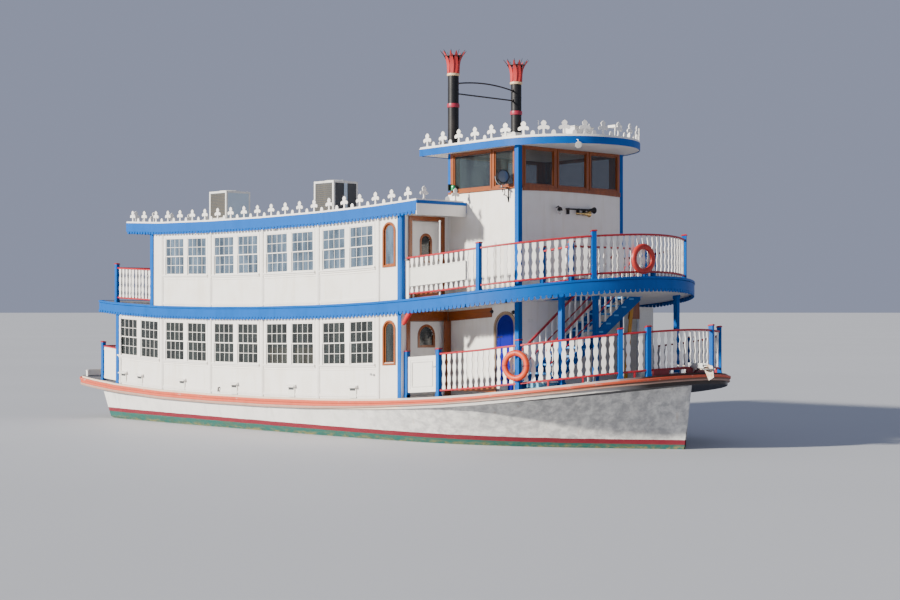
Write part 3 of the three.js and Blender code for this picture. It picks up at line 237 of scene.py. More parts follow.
class Piece:
    """Closed shells gathered in one mesh, then handed over as one object. The paint given here is
    that of every shell that doesn't name its own."""

    def __init__(self, name, paint=""):
        self.name = name
        self.paint = paint
        self.bm = bmesh.new()
        self.paints = []

    def index(self, paint):
        paint = paint or self.paint
        if paint not in self.paints:
            self.paints.append(paint)
        return self.paints.index(paint)

    def shell(self, points, faces, paint):
        index = self.index(paint)
        verts = [self.bm.verts.new(p) for p in points]
        for face in faces:
            self.bm.faces.new([verts[i] for i in face]).material_index = index

    def box(self, x0, x1, y0, y1, z0, z1, paint=None, turn=0):
        """A box between two places each way; turn swings it about its own upright axis."""
        xs, ys = sorted((x0, x1)), sorted((y0, y1))
        cx, cy = sum(xs) / 2, sum(ys) / 2
        c, s = math.cos(turn), math.sin(turn)
        points = [(cx + (x - cx) * c - (y - cy) * s, cy + (x - cx) * s + (y - cy) * c, z)
                  for x in xs for y in ys for z in (z0, z1)]
        faces = [(0, 1, 3, 2), (4, 6, 7, 5), (0, 4, 5, 1), (2, 3, 7, 6), (0, 2, 6, 4), (1, 5, 7, 3)]
        self.shell(points, faces, paint)

    def block(self, x, y, half_x, half_y, z0, z1, paint=None, turn=0):
        """A box about a middle line."""
        self.box(x - half_x, x + half_x, y - half_y, y + half_y, z0, z1, paint, turn)

    def frame(self, along, a, b, z0, z1, near, far, rim, paint=None, rail=None):
        """Two stiles and two rails in a wall that runs along x or y."""
        rail = rail or rim
        for s0, s1, low, high in ((a, a + rim, z0, z1), (b - rim, b, z0, z1), (a + rim, b - rim, z0, z0 + rail),
                                  (a + rim, b - rim, z1 - rail, z1)):
            spans = (s0, s1, near, far) if along == "x" else (near, far, s0, s1)
            self.box(*spans, low, high, paint)

    def prism(self, outline, axis, a, b, paint=None):
        """An outline carried along an axis: (y, z) points for x, (x, z) for y, (x, y) for z."""
        place, n = PLACES[axis], len(outline)
        points = [place(p, t) for t in sorted((a, b)) for p in outline]
        faces = [tuple(range(n)), tuple(reversed(range(n, 2 * n)))]
        faces += [(i, (i + 1) % n, n + (i + 1) % n, n + i) for i in range(n)]
        self.shell(points, faces, paint)

    def ring_prism(self, outer, inner, axis, a, b, paint=None):
        """The band between two outlines with the same number of points, carried along an axis."""
        a, b = sorted((a, b))
        lines = ((outer, a), (outer, b), (inner, b), (inner, a))
        self.loft([[PLACES[axis](p, t) for p in line] for line, t in lines], paint, True)

    def loft(self, rings, paint=None, closed=False):
        n, count = len(rings[0]), len(rings)
        points = [p for ring in rings for p in ring]
        faces = []
        for i in range(count if closed else count - 1):
            j = (i + 1) % count
            faces += [(i * n + k, i * n + (k + 1) % n, j * n + (k + 1) % n, j * n + k) for k in range(n)]
        if not closed:
            faces += [tuple(reversed(range(n))), tuple(range((count - 1) * n, count * n))]
        self.shell(points, faces, paint)

    def sweep(self, path, profile, paint=None, closed=False):
        """A profile of (out, up) points carried along a plan path; out is to the right of travel."""
        count = len(path)

        def way(i):
            return (Vector(path[(i + 1) % count]) - Vector(path[i % count])).normalized()

        rings = []
        for i, p in enumerate(path):
            u = way(i + count - 1) if closed else way(max(0, i - 1))
            v = way(i) if closed else way(min(i, count - 2))
            out = Vector((u.y + v.y, -u.x - v.x)) / (1 + u.dot(v))
            rings.append([(p[0] + out.x * o, p[1] + out.y * o, z) for o, z in profile])
        self.loft(rings, paint, closed)

    def bar(self, path, wide, z0, z1, paint=None):
        """A squared bar with softened edges along a plan path."""
        w, c = wide / 2, min(wide, z1 - z0) * 0.16
        self.sweep(path, [(-w + c, z0), (w - c, z0), (w, z0 + c), (w, z1 - c), (w - c, z1), (-w + c, z1),
                          (-w, z1 - c), (-w, z0 + c)], paint)

    def tube(self, points, radius, sides=8, paint=None, closed=False):
        """A round tube along places in space; radius may be a list, one for each place."""
        spots = [Vector(p) for p in points]
        count = len(spots)
        radii = radius if isinstance(radius, (list, tuple)) else [radius] * count
        rings, up = [], None
        for i, p in enumerate(spots):
            before = spots[i - 1] if closed or i else p
            after = spots[(i + 1) % count] if closed or i + 1 < count else p
            way = (after - before).normalized()
            up = way.orthogonal().normalized() if up is None else up
            up = (up - way * up.dot(way)).normalized()
            side = way.cross(up)
            turns = [2 * math.pi * k / sides for k in range(sides)]
            rings.append([tuple(p + (up * math.cos(t) + side * math.sin(t)) * radii[i]) for t in turns])
        self.loft(rings, paint, closed)

    def lathe(self, profile, centre, sides=24, axis=(0, 0, 1), paint=None):
        """A profile of (radius, height) points spun about an axis; the first and last radius may be 0."""
        turn = Vector((0, 0, 1)).rotation_difference(Vector(axis).normalized())
        points, rings = [], []
        for r, h in profile:
            count = sides if r > 0 else 1
            rings.append(list(range(len(points), len(points) + count)))
            points += [(0, 0, h)] if count == 1 else circle(0, 0, h, r, sides)
        faces = []
        for low, high in zip(rings, rings[1:]):
            for k in range(sides):
                j = (k + 1) % sides
                ring = [low[k % len(low)], low[j % len(low)], high[j % len(high)], high[k % len(high)]]
                face = list(dict.fromkeys(ring))
                if len(face) > 2:
                    faces.append(tuple(face))
        if len(rings[0]) > 1:
            faces.append(tuple(reversed(rings[0])))
        if len(rings[-1]) > 1:
            faces.append(tuple(rings[-1]))
        self.shell([tuple(Vector(centre) + turn @ Vector(p)) for p in points], faces, paint)

    def collar(self, x, y, inner, outer, z0, z1, sides=28, paint=None):
        """A flat band round an upright pipe."""
        self.lathe([(inner, z0), (outer, z0), (outer, z1), (inner, z1)], (x, y, 0), sides, paint=paint)

    def absorb(self, mesh, paint):
        """Takes in a mesh that a tree made, and throws the mesh away."""
        index, count = self.index(paint), len(self.bm.faces)
        self.bm.from_mesh(mesh)
        self.bm.faces.ensure_lookup_table()
        for face in self.bm.faces[count:]:
            face.material_index = index
        bpy.data.meshes.remove(mesh)

    def along(self, paths, spacing, build, *sizes, paint=None):
        """Copies of a small unit along paths; the unit is built, copied and thrown away."""
        small = Piece("unit")
        build(small, *sizes)
        unit = new_object("unit", small.mesh())
        self.absorb(grown("units along a path", units_tree, paths, paint or self.paint,
                          Unit=unit, Spacing=spacing), paint)
        throw_away(unit)

    def rows(self, spots, bar, step, count, start=(0, 0, 0), paint=None):
        self.absorb(grown("rows of bars", bars_tree, [[p] for p in spots], paint or self.paint,
                          Bar=bar, Start=start, Step=step, Count=count), paint)

    def rise(self, height):
        """Lifts all that has been made so far by a height that depends on x."""
        xs = [v.co.x for v in self.bm.verts]
        for x in STATIONS if height is sheer else ():
            if min(xs) + 1e-4 < x < max(xs) - 1e-4:
                crossing = list({f for f in self.bm.faces
                                 if min(v.co.x for v in f.verts) < x - 1e-5
                                 and max(v.co.x for v in f.verts) > x + 1e-5})
                if crossing:
                    edges = list({e for f in crossing for e in f.edges})
                    verts = list({v for f in crossing for v in f.verts})
                    bmesh.ops.bisect_plane(self.bm, geom=crossing + edges + verts, dist=1e-6,
                                           plane_co=(x, 0, 0), plane_no=(1, 0, 0))
        for v in self.bm.verts:
            v.co.z += height(v.co.x)

    def mirror(self):
        """Turns all that has been made so far to the other side of the centreline."""
        for v in self.bm.verts:
            v.co.y = -v.co.y

    def mesh(self):
        bmesh.ops.recalc_face_normals(self.bm, faces=self.bm.faces[:])
        for face in self.bm.faces:
            face.smooth = True
        for edge in self.bm.edges:
            edge.smooth = len(edge.link_faces) == 2 and edge.calc_face_angle(0) < SMOOTH_LIMIT
        mesh = bpy.data.meshes.new(self.name)
        self.bm.to_mesh(mesh)
        self.bm.free()
        return mesh

    def done(self, slot, *replaced, body=HULL_BODY, bevel=0, lift=None):
        """Hands the piece over; lift is the height that it is raised by first."""
        if lift:
            self.rise(lift)
        piece = new_object(self.name, self.mesh())
        for paint in self.paints:
            piece.data.materials.append(finish(paint))
        if bevel:
            soft = piece.modifiers.new("soft edges", "BEVEL")
            soft.width = bevel
            soft.segments = 1
            soft.limit_method = "ANGLE"
            soft.angle_limit = BEVEL_LIMIT
            soft.harden_normals = True
        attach(piece, body)
        if replaced:
            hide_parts(*replaced)


# Paints

def shade(colour, share):
    return (*(part * share for part in colour[:3]), 1)


def tone(value):
    """A colour from its name in the panel, from a name and a share of it, or from three numbers."""
    if isinstance(value, str):
        return (*getattr(bpy.context.scene.boat_colours, value), 1)
    if isinstance(value[0], str):
        return shade(tone(value[0]), value[1])
    return (*value[:3], 1)


class Paint:
    """A material in the making, with patterns that read the object's own coordinates."""

    def __init__(self, name):
        self.material = bpy.data.materials.new(name)
        self.material.use_nodes = True
        self.tree = self.material.node_tree
        self.shader = self.tree.nodes["Principled BSDF"]
        self.where = node(self.tree, "ShaderNodeTexCoord").outputs["Object"]

    def cloud(self, scale, detail=4, stretch=(1, 1, 1), rough=0.55, warp=0):
        placed = node(self.tree, "ShaderNodeMapping", {"Vector": self.where, "Scale": stretch}).outputs[0]
        return node(self.tree, "ShaderNodeTexNoise", {
            "Vector": placed, "Scale": scale, "Detail": detail, "Roughness": rough, "Distortion": warp,
        }).outputs["Fac"]

    def window(self, value, low, high, out_low=0, out_high=1):
        """The value stretched so that low to high becomes out_low to out_high, and held there."""
        return node(self.tree, "ShaderNodeMapRange", {
            "Value": value, "From Min": low, "From Max": high, "To Min": out_low, "To Max": out_high,
        }, clamp=True).outputs["Result"]

    def maths(self, operation, a, b):
        return maths(self.tree, operation, a, b)

    def parts(self, vector):
        return node(self.tree, "ShaderNodeSeparateXYZ", {0: vector}).outputs

    def mix(self, share, a, b):
        return node(self.tree, "ShaderNodeMix", {0: share, 6: a, 7: b}, data_type="RGBA").outputs[2]

    def weather(self, clean, dirt, broad, runs, scale=1.4):
        """Broad blotches and runs of dirt over a clean colour."""
        blotch = self.window(self.cloud(scale, 6), 0.48, 0.78, 0, broad)
        run = self.window(self.cloud(5, 4, (1, 1, 0.12), warp=0.3), 0.52, 0.8, 0, runs)
        return self.mix(run, self.mix(blotch, clean, dirt), dirt)

    def feed(self, **sockets):
        """Sets or links the shader's sockets; an underscore stands for a space in a name."""
        for key, value in sockets.items():
            socket = self.shader.inputs[key.replace("_", " ")]
            if isinstance(value, bpy.types.NodeSocket):
                self.tree.links.new(value, socket)
            else:
                socket.default_value = value
        return self.material

    def bump(self, height, strength, distance):
        lifted = node(self.tree, "ShaderNodeBump", {
            "Height": height, "Strength": strength, "Distance": distance})
        self.feed(Normal=lifted.outputs[0])

    def grain(self, height, rough, strength, distance):
        """A fine texture that the roughness follows, with the bump that it makes."""
        self.feed(Roughness=self.window(height, 0.3, 0.7, *rough))
        self.bump(height, strength, distance)


def painted(name, clean, dirt, broad=0.35, runs=0.35, rough=(0.32, 0.5), shine=0.5):
    """Brushed marine paint: faint blotches and runs, and a soft brush texture."""
    paint = Paint(name)
    paint.feed(Base_Color=paint.weather(tone(clean), tone(dirt), broad, runs))
    paint.grain(paint.cloud(38, 3), rough, 0.25, 0.002)
    return paint.feed(Specular_IOR_Level=shine)


def chipped(name, clean, worn, share=0.5, rough=(0.4, 0.65)):
    """Sun-faded paint that has rubbed and chipped down to what is under it."""
    paint, clean = Paint(name), tone(clean)
    faded = paint.weather(clean, shade(clean, 0.72), 0.6, 0.3, 3)
    patch = paint.window(paint.cloud(9, 8, (0.35, 1, 1.6), 0.7), 0.6, 0.66, 0, share)
    paint.feed(Base_Color=paint.mix(patch, faded, tone(worn)))
    fine = paint.cloud(30, 4)
    paint.feed(Roughness=paint.window(fine, 0.3, 0.7, *rough))
    paint.bump(paint.maths("SUBTRACT", fine, patch), 0.35, 0.003)
    return paint.material


def timber(name, light, dark, across=(1, 1, 0.09)):
    """Varnished wood with its grain along the short side of across."""
    paint, dark = Paint(name), tone(dark)
    grain = paint.cloud(22, 6, across, 0.6, 1.2)
    wood = paint.mix(paint.window(grain, 0.35, 0.68), tone(light), dark)
    age = paint.window(paint.cloud(1.7, 3), 0.4, 0.75, 0, 0.35)
    paint.feed(Base_Color=paint.mix(age, wood, shade(dark, 0.7)))
    paint.grain(grain, (0.28, 0.46), 0.3, 0.002)
    return paint.feed(Coat_Weight=0.4, Coat_Roughness=0.2)


def metal(name, clean, rough=(0.3, 0.5), spots=None):
    paint, clean = Paint(name), tone(clean)
    blotch = paint.window(paint.cloud(7, 6), 0.4, 0.7)
    paint.feed(Base_Color=paint.mix(blotch, clean, tone(spots) if spots else shade(clean, 0.7)))
    paint.feed(Roughness=paint.window(paint.cloud(30, 3), 0.3, 0.7, *rough))
    return paint.feed(Metallic=1)


def glass(name, tint, clear):
    """Window glass: a dark glossy pane that lets some of the room through."""
    paint, tint = Paint(name), tone(tint)
    # The darker streaks are partly painted reflection and partly curtain folds behind the glass.
    streaks = paint.window(paint.cloud(4, 3, (1, 1, 0.22)), 0.36, 0.64)
    paint.feed(Base_Color=paint.mix(streaks, tint, shade(tint, 0.35)))
    paint.bump(paint.cloud(1.8, 1), 0.12, 0.01)
    return paint.feed(Roughness=0.06, Alpha=clear, Specular_IOR_Level=0.8)


def lamp_glass(name, tint):
    paint, tint = Paint(name), tone(tint)
    paint.feed(Base_Color=paint.mix(paint.cloud(40, 2, (1, 1, 0.1)), tint, shade(tint, 0.75)))
    return paint.feed(Roughness=0.12, Coat_Weight=0.6)


def hull_paint(name):
    """White topsides, a red line over a green boot-top, and bottom paint below the water."""
    paint = Paint(name)
    at = paint.parts(paint.where)
    wander = paint.window(paint.cloud(2.5), 0, 1, -0.012, 0.012)
    line = paint.maths("ADD", paint.maths("MULTIPLY", at["X"], -0.0055), 0.165)
    over = paint.maths("ADD", paint.maths("SUBTRACT", at["Z"], line), wander)
    top = paint.weather(tone("hull_white"), (0.5, 0.5, 0.47, 1), 0.55, 0.5, 0.9)
    # Painted shade and painted reflection: ahead of x 0.5, growing towards the bow, the topsides take a mottled grey
    # that stands in for the shade of the bow's flare and the light thrown up off the water.
    bow_shade_and_reflection = paint.window(paint.cloud(5, 6, (0.7, 1, 1), 0.66, 0.3), 0.38, 0.62, 0.05, 0.85)
    ahead = paint.window(at["X"], 0.5, 5, 0.1, 1)
    top = paint.mix(paint.maths("MULTIPLY", bow_shade_and_reflection, ahead), top, (0.36, 0.36, 0.37, 1))
    rust_and_shade_brown = paint.window(paint.cloud(7, 5, (1, 1, 0.1), 0.6), 0.64, 0.76, 0, 0.4)
    top = paint.mix(rust_and_shade_brown, top, (0.42, 0.24, 0.1, 1))
    red = paint.weather(tone("hull_red"), (0.22, 0.03, 0.03, 1), 0.6, 0.3, 3)
    teal = paint.weather(tone("boot_top"), (0.05, 0.09, 0.05, 1), 0.8, 0.6, 4)
    weed = paint.window(paint.cloud(6, 8, (0.6, 1, 2), 0.7), 0.45, 0.62, 0, 0.85)
    low = paint.window(at["Z"], 0.03, 0.11, 1, 0.12)
    teal = paint.mix(paint.maths("MULTIPLY", weed, low), teal, (0.26, 0.2, 0.06, 1))
    bottom = paint.mix(weed, (0.16, 0.05, 0.04, 1), (0.07, 0.08, 0.04, 1))
    colour = paint.mix(paint.maths("GREATER_THAN", over, 0), teal, red)
    colour = paint.mix(paint.maths("GREATER_THAN", over, 0.115), colour, top)
    colour = paint.mix(paint.maths("LESS_THAN", at["Z"], -0.06), colour, bottom)
    paint.feed(Base_Color=colour)
    fine = paint.cloud(24)
    paint.feed(Roughness=paint.window(fine, 0.3, 0.7, 0.34, 0.6))
    dents = paint.maths("MULTIPLY", paint.cloud(1.6, 3, (0.8, 1, 1)), 3)
    paint.bump(paint.maths("ADD", dents, fine), 0.35, 0.012)
    return paint.material


def deck_paint(name, top, edge, under, ahead=None):
    """One colour on top, one underneath and one or two on the upright edges, aft and ahead; where there is an ahead
    colour, the edges at the bow's tip turn near-black as a painted shade.
    """
    paint, top, edge, under = Paint(name), tone(top), tone(edge), tone(under)
    up = paint.parts(node(paint.tree, "ShaderNodeNewGeometry").outputs["True Normal"])["Z"]
    tops = paint.weather(top, shade(top, 0.62), 0.8, 0, 2.2)
    edges = paint.weather(edge, shade(edge, 0.7), 0.45, 0.35, 1.8)
    if ahead:
        along = paint.parts(paint.where)["X"]
        edges = paint.mix(paint.window(along, 3.8, 4.1), edges, tone(ahead))
        # Painted shade: near-black on the edge at the bow's tip, where the overhang lies in shade.
        edges = paint.mix(paint.window(along, 9.8, 10.3), edges, (0.06, 0.05, 0.045, 1))
    unders = paint.weather(under, shade(under, 0.7), 0.4, 0, 1.2)
    colour = paint.mix(paint.maths("GREATER_THAN", up, 0.6), edges, tops)
    colour = paint.mix(paint.maths("LESS_THAN", up, -0.6), colour, unders)
    paint.feed(Base_Color=colour)
    paint.grain(paint.cloud(55, 3), (0.4, 0.7), 0.3, 0.003)
    return paint.feed(Specular_IOR_Level=0.15)


def guard_paint(name):
    """Salmon paint on the sides that turns to a dark brown under the bow, painted there as the shade of the
    overhanging bow.
    """
    paint = Paint(name)
    at = paint.parts(paint.where)
    salmon = paint.weather(tone("salmon"), tone(("salmon", 0.6)), 0.6, 0.3, 3)
    # Painted shade: the dark brown that takes over towards the bow stands in for the shade under the overhanging
    # bow.
    rust_and_shade_brown = paint.weather((0.17, 0.09, 0.06, 1), (0.3, 0.11, 0.05, 1), 0.8, 0.3, 4)
    wander = paint.window(paint.cloud(3, 6, (0.4, 1, 1)), 0.3, 0.7, -1.2, 1.2)
    ahead = paint.window(paint.maths("ADD", at["X"], wander), 5.6, 7.6)
    paint.feed(Base_Color=paint.mix(ahead, salmon, rust_and_shade_brown), Roughness=0.55)
    paint.bump(paint.cloud(30), 0.35, 0.003)
    return paint.material


def floor_paint(name):
    paint = Paint(name)
    soft = paint.window(paint.cloud(0.05, 2), 0.3, 0.7)
    return paint.feed(Base_Color=paint.mix(soft, (0.47, 0.49, 0.52, 1), (0.5, 0.52, 0.55, 1)), Roughness=0.7)


DIRT = (0.62, 0.56, 0.42)
RECIPES = {
    "wall white": (painted, "white", DIRT, 0.3, 0.38, (0.36, 0.55)),
    "trim white": (painted, "white", (0.55, 0.54, 0.5), 0.22, 0.22, (0.3, 0.46)),
    "board white": (painted, (0.84, 0.84, 0.78), (0.6, 0.58, 0.48), 0.3, 0.25, (0.2, 0.35)),
    "rail blue": (painted, "blue", ("blue", 0.6), 0.5, 0.4, (0.34, 0.5), 0.12),
    "rail red": (chipped, "red", ("red", 0.45), 0.5, (0.3, 0.5)),
    "toe board red": (painted, "dark_red", ("dark_red", 0.5), 0.6, 0.4),
    "guard salmon": (chipped, "salmon", (0.45, 0.4, 0.36), 0.6),
    "guard lower": (guard_paint,),
    "guard under": (chipped, (0.42, 0.26, 0.2), (0.22, 0.11, 0.07), 0.6),
    "hull plating": (hull_paint,),
    "antifouling": (chipped, (0.2, 0.055, 0.045), (0.1, 0.1, 0.06), 0.7),
    # Main deck: its near-black underside is painted shade, and the grey of its edges ahead stands in for the shaded
    # hull, a painted shade too.
    "main deck": (deck_paint, "deck", (0.72, 0.62, 0.5), (0.05, 0.05, 0.055), (0.5, 0.49, 0.47)),
    "upper deck": (deck_paint, "deck", "blue", ("white", 0.92)),
    "roofing": (deck_paint, (0.66, 0.66, 0.64), "blue", ("white", 0.92)),
    "varnished wood": (timber, "wood", ("wood", 0.5)),
    "varnished rail": (timber, "wood", ("wood", 0.5), (0.09, 1, 1)),
    "tan casing": (timber, (0.42, 0.28, 0.15), (0.24, 0.15, 0.08)),
    "blind": (timber, (0.74, 0.62, 0.38), (0.56, 0.44, 0.24)),
    "room floor": (timber, (0.22, 0.14, 0.08), (0.12, 0.07, 0.04), (0.09, 1, 1)),
    "door blue": (painted, "door_blue", ("door_blue", 0.6), 0.3, 0.3, (0.4, 0.55), 0.1),
    "stack black": (painted, (0.008, 0.009, 0.012), (0.045, 0.035, 0.03), 0.35, 0.4, (0.4, 0.58), 0.3),
    "stack cream": (painted, (0.8, 0.6, 0.36), (0.4, 0.26, 0.14), 0.5, 0.5),
    "crown red": (chipped, (0.5, 0.03, 0.03), (0.34, 0.12, 0.09)),
    "band red": (painted, (0.36, 0.02, 0.05), (0.12, 0.01, 0.02), 0.4, 0.3),
    "iron black": (painted, (0.014, 0.014, 0.017), (0.07, 0.04, 0.03), 0.4, 0.3, (0.32, 0.5), 0.35),
    "galvanised": (metal, (0.55, 0.57, 0.58), (0.4, 0.6)),
    "anchor grey": (metal, (0.5, 0.5, 0.49), (0.45, 0.65), (0.36, 0.24, 0.15)),
    "bronze": (metal, (0.6, 0.4, 0.16), (0.25, 0.45), (0.28, 0.24, 0.12)),
    "brass": (metal, (0.78, 0.55, 0.22), (0.15, 0.3)),
    "ring orange": (painted, (0.64, 0.055, 0.006), (0.42, 0.045, 0.012), 0.5, 0.2, (0.4, 0.6)),
    "ring red": (painted, (0.5, 0.03, 0.02), (0.25, 0.03, 0.03), 0.5, 0.2),
    "ring band": (painted, (0.42, 0.02, 0.02), (0.25, 0.03, 0.03), 0.5, 0.2),
    "casing grey": (painted, (0.74, 0.74, 0.71), (0.42, 0.4, 0.34), 0.35, 0.45),
    "casing blue": (painted, (0.5, 0.62, 0.74), (0.42, 0.45, 0.48), 0.35, 0.3),
    "louvre tan": (painted, (0.095, 0.082, 0.06), (0.15, 0.12, 0.08), 0.5, 0.3),
    "louvre dark": (painted, (0.05, 0.055, 0.06), (0.13, 0.12, 0.11), 0.4, 0.3),
    "cabin glass": (glass, (0.035, 0.045, 0.045), 0.62),
    # The blue-grey tint of the upper glass is partly a painted reflection of the sky.
    "upper glass": (glass, (0.16, 0.23, 0.32), 0.72),
    "house glass": (glass, (0.05, 0.07, 0.07), 0.38),
    "seat": (painted, (0.06, 0.12, 0.26), (0.03, 0.06, 0.12), 0.4, 0.1),
    "red tube": (painted, (0.55, 0.014, 0.018), (0.35, 0.02, 0.02), 0.3, 0.3),
    "yellow board": (painted, (0.6, 0.27, 0.006), (0.45, 0.26, 0.04), 0.3, 0.3),
    "tread blue": (painted, (0.08, 0.36, 0.72), (0.1, 0.16, 0.22), 0.6, 0.2),
    "pale blue": (painted, (0.16, 0.48, 0.72), (0.2, 0.34, 0.45), 0.3, 0.3),
    "lamp glass": (lamp_glass, (0.82, 0.8, 0.72)),
    "dark lens": (lamp_glass, (0.16, 0.2, 0.24)),
    "green lamp": (lamp_glass, (0.02, 0.35, 0.12)),
    "red lamp": (lamp_glass, (0.45, 0.02, 0.02)),
    "studio floor": (floor_paint,),
}


def finish(name):
    """The named paint, mixed the first time that a piece asks for it."""
    maker, *values = RECIPES[name]
    return bpy.data.materials.get(name) or maker(name, *values)


WALLS = ("starboard", "port", "front", "aft")
NODE_FINISHES = {
    "wall white": [f"{level}_wall_{end}" for level in LEVELS for end in WALLS]
    + [f"tower_{level}_{end}" for level in LEVELS for end in WALLS[:3]],
    "trim white": [f"{level}_front_door_{hand}" for level in LEVELS for hand, _ in SIDES]
    + ["lower_aft_door", "upper_aft_door"],
    "main deck": ["main_deck"],
    "upper deck": ["upper_deck"],
    "roofing": ["cabin_roof", "wheelhouse_roof"],
    "varnished wood": ["wheelhouse_frame", "helm"],
    "door blue": ["tower_door_starboard", "tower_door_port"],
    "bronze": ["propeller_starboard", "propeller_port"],
    "antifouling": ["rudder_starboard", "rudder_port"],
}


def dress_nodes():
    for paint, names in NODE_FINISHES.items():
        for name in names:
            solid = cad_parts[name]
            for entry in solid.material_slots:
                entry.material = finish(paint)
            if not solid.material_slots:
                solid.data.materials.append(finish(paint))


# Hull

# Half breadths at the deck, at the water and at the chine, with where each lies along x.
HULL_ROWS = [
    # deck x, deck, water x, water, chine x, chine, chine z, floor z
    (-10.12, 3.3, -9.9, 3.15, -9.76, 2.86, -0.15, -0.25),
    (-9.05, 3.4, -9, 3.24, -8.95, 2.93, -0.26, -0.39),
    (-6.63, 3.46, -6.63, 3.3, -6.63, 2.9, -0.48, -0.64),
    (-4.21, 3.48, -4.21, 3.32, -4.21, 2.8, -0.64, -0.79),
    (-1.79, 3.48, -1.79, 3.32, -1.79, 2.75, -0.66, -0.8),
    (0.63, 3.48, 0.63, 3.3, 0.63, 2.7, -0.66, -0.8),
    (1.84, 3.48, 1.84, 3.26, 1.84, 2.65, -0.66, -0.8),
    (3.05, 3.48, 3.05, 3.19, 3.05, 2.56, -0.66, -0.8),
    (4.26, 3.47, 4.24, 3.06, 4.2, 2.4, -0.66, -0.8),
    (5.47, 3.4, 5.43, 2.82, 5.35, 2.13, -0.66, -0.8),
    (6.68, 3.16, 6.6, 2.4, 6.45, 1.72, -0.66, -0.8),
    (7.89, 2.56, 7.76, 1.79, 7.55, 1.18, -0.66, -0.8),
    (9.1, 1.44, 8.96, 0.98, 8.7, 0.6, -0.66, -0.8),
    (10.31, 0.13, 10.13, 0.09, 9.79, 0.07, -0.64, -0.78),
    (10.4, 0.03, 10.22, 0.025, 9.89, 0.025, -0.63, -0.76),
]
WATER_Z = 0.06
SHAFT_Y, SHAFT_Z = 1.5, -0.72
STRUT_X, RUDDER_X = -7.7, -8.43


def smooth_rows(rows, steps):
    """Catmull-Rom rows between the given ones; straight where a step would overshoot."""
    found = []
    for i in range(len(rows) - 1):
        before, a, b, after = rows[max(0, i - 1)], rows[i], rows[i + 1], rows[min(len(rows) - 1, i + 2)]
        for t in (k / steps for k in range(steps)):
            row = []
            for p, q, r, s in zip(before, a, b, after):
                bend = 0.5 * (2 * q + (r - p) * t + (2 * p - 5 * q + 4 * r - s) * t * t
                              + (3 * q - p - 3 * r + s) * t**3)
                row.append(min(max(bend, min(q, r)), max(q, r)))
            found.append(tuple(row))
    return found + [rows[-1]]


def hull_section(row):
    deck_x, deck, water_x, water, chine_x, chine, chine_z, floor_z = row
    top = sheer(deck_x) + DECK_FOOT - 0.0003
    half = []
    for t in (0, 0.33, 0.66, 1):
        flare = 0.045 * math.sin(math.pi * t) * min(1, max(0, (deck_x - 3) / 4))
        half.append((deck_x + (water_x - deck_x) * t, max(deck + (water - deck) * t - flare, 0.02),
                     top + (WATER_Z - top) * t))
    for t in (0.45, 0.75, 0.92):
        half.append((water_x + (chine_x - water_x) * t, water + (chine - water) * t,
                     WATER_Z + (chine_z - WATER_Z) * t))
    half.append((chine_x, chine * 0.965, chine_z + (floor_z - chine_z) * 0.03 - 0.01))
    half.append((chine_x, chine * 0.82, chine_z + (floor_z - chine_z) * 0.2))
    half.append((chine_x, chine * 0.06, floor_z))
    return half + [(x, -y, z) for x, y, z in reversed(half)]


def make_hull():
    hull = Piece("hull_plating", "antifouling")
    hull.loft([hull_section(row) for row in smooth_rows(HULL_ROWS, 4)], "hull plating")
    hull.prism([(-8, -0.5), (-7, -1), (8.6, -1), (9.1, -0.7), (8, -0.6)], "y", -0.07, 0.07)
    for _, side in SIDES:
        x, y, z = STRUT_X, SHAFT_Y * side, SHAFT_Z
        hull.lathe([(0.05, -0.08), (0.062, -0.06), (0.062, 0.06), (0.05, 0.08)], (x, y, z), 16, (1, 0, 0))
        hull.tube([(x + 0.06, y, z), (-3.5, y, z)], 0.046, 12)
        hull.prism([(x - 0.06, y), (x - 0.02, y - 0.02), (x + 0.05, y - 0.016), (x + 0.06, y),
                    (x + 0.05, y + 0.016), (x - 0.02, y + 0.02)], "z", -0.3, z)
        hull.tube([(RUDDER_X, y, -0.4047), (RUDDER_X, y, -0.2)], 0.054, 12)
    hull.done("hull_paint", "hull")


# Guard rim, fascias and mouldings

def make_guard():
    path = []
    for x, y in edge_path(MAIN_EDGE, 0):
        if path and abs(x - path[-1][0]) > 5:
            extra = [(0, y), (4.2, y)]
            path += extra if x > path[-1][0] else extra[::-1]
        path.append((x, y))
    guard = Piece("guard_timbers")
    joint, step = -0.075, -0.15
    guard.sweep(path, [(-0.008, joint), (0.062, joint), (0.076, -0.062), (0.08, -0.02), (0.07, 0),
                       (-0.008, 0)], "guard salmon", True)
    guard.sweep(path, [(-0.008, step), (0.036, step), (0.046, -0.14), (0.046, joint - 0.0002),
                       (-0.008, joint - 0.0002)], "guard lower", True)
    guard.sweep(path, [(-0.008, -0.218), (0.052, -0.218), (0.058, -0.206), (0.058, -0.162),
                       (0.052, step - 0.0002), (-0.008, step - 0.0002)], "guard under", True)
    # The timbers grow thinner towards the bow, the lower ones most of all.
    for v in guard.bm.verts:
        share = min(1, max(0, v.co.x / 5))
        thin = 1 - 0.15 * share
        if v.co.z < joint:
            v.co.z = joint * thin + (v.co.z - joint) * (1 - 0.5 * share)
        else:
            v.co.z *= thin
    guard.done("guard_paint", "guard_rim", lift=sheer)


def scallop(made, wide, deep, thick):
    """A round-ended tongue that hangs down from its own top edge."""
    outline = [(-wide / 2, 0), (wide / 2, 0)] + arc(0, -deep * 0.45, wide / 2, deep * 0.55, 0, -180, 6)
    made.prism(outline, "y", -thick / 2, thick / 2)


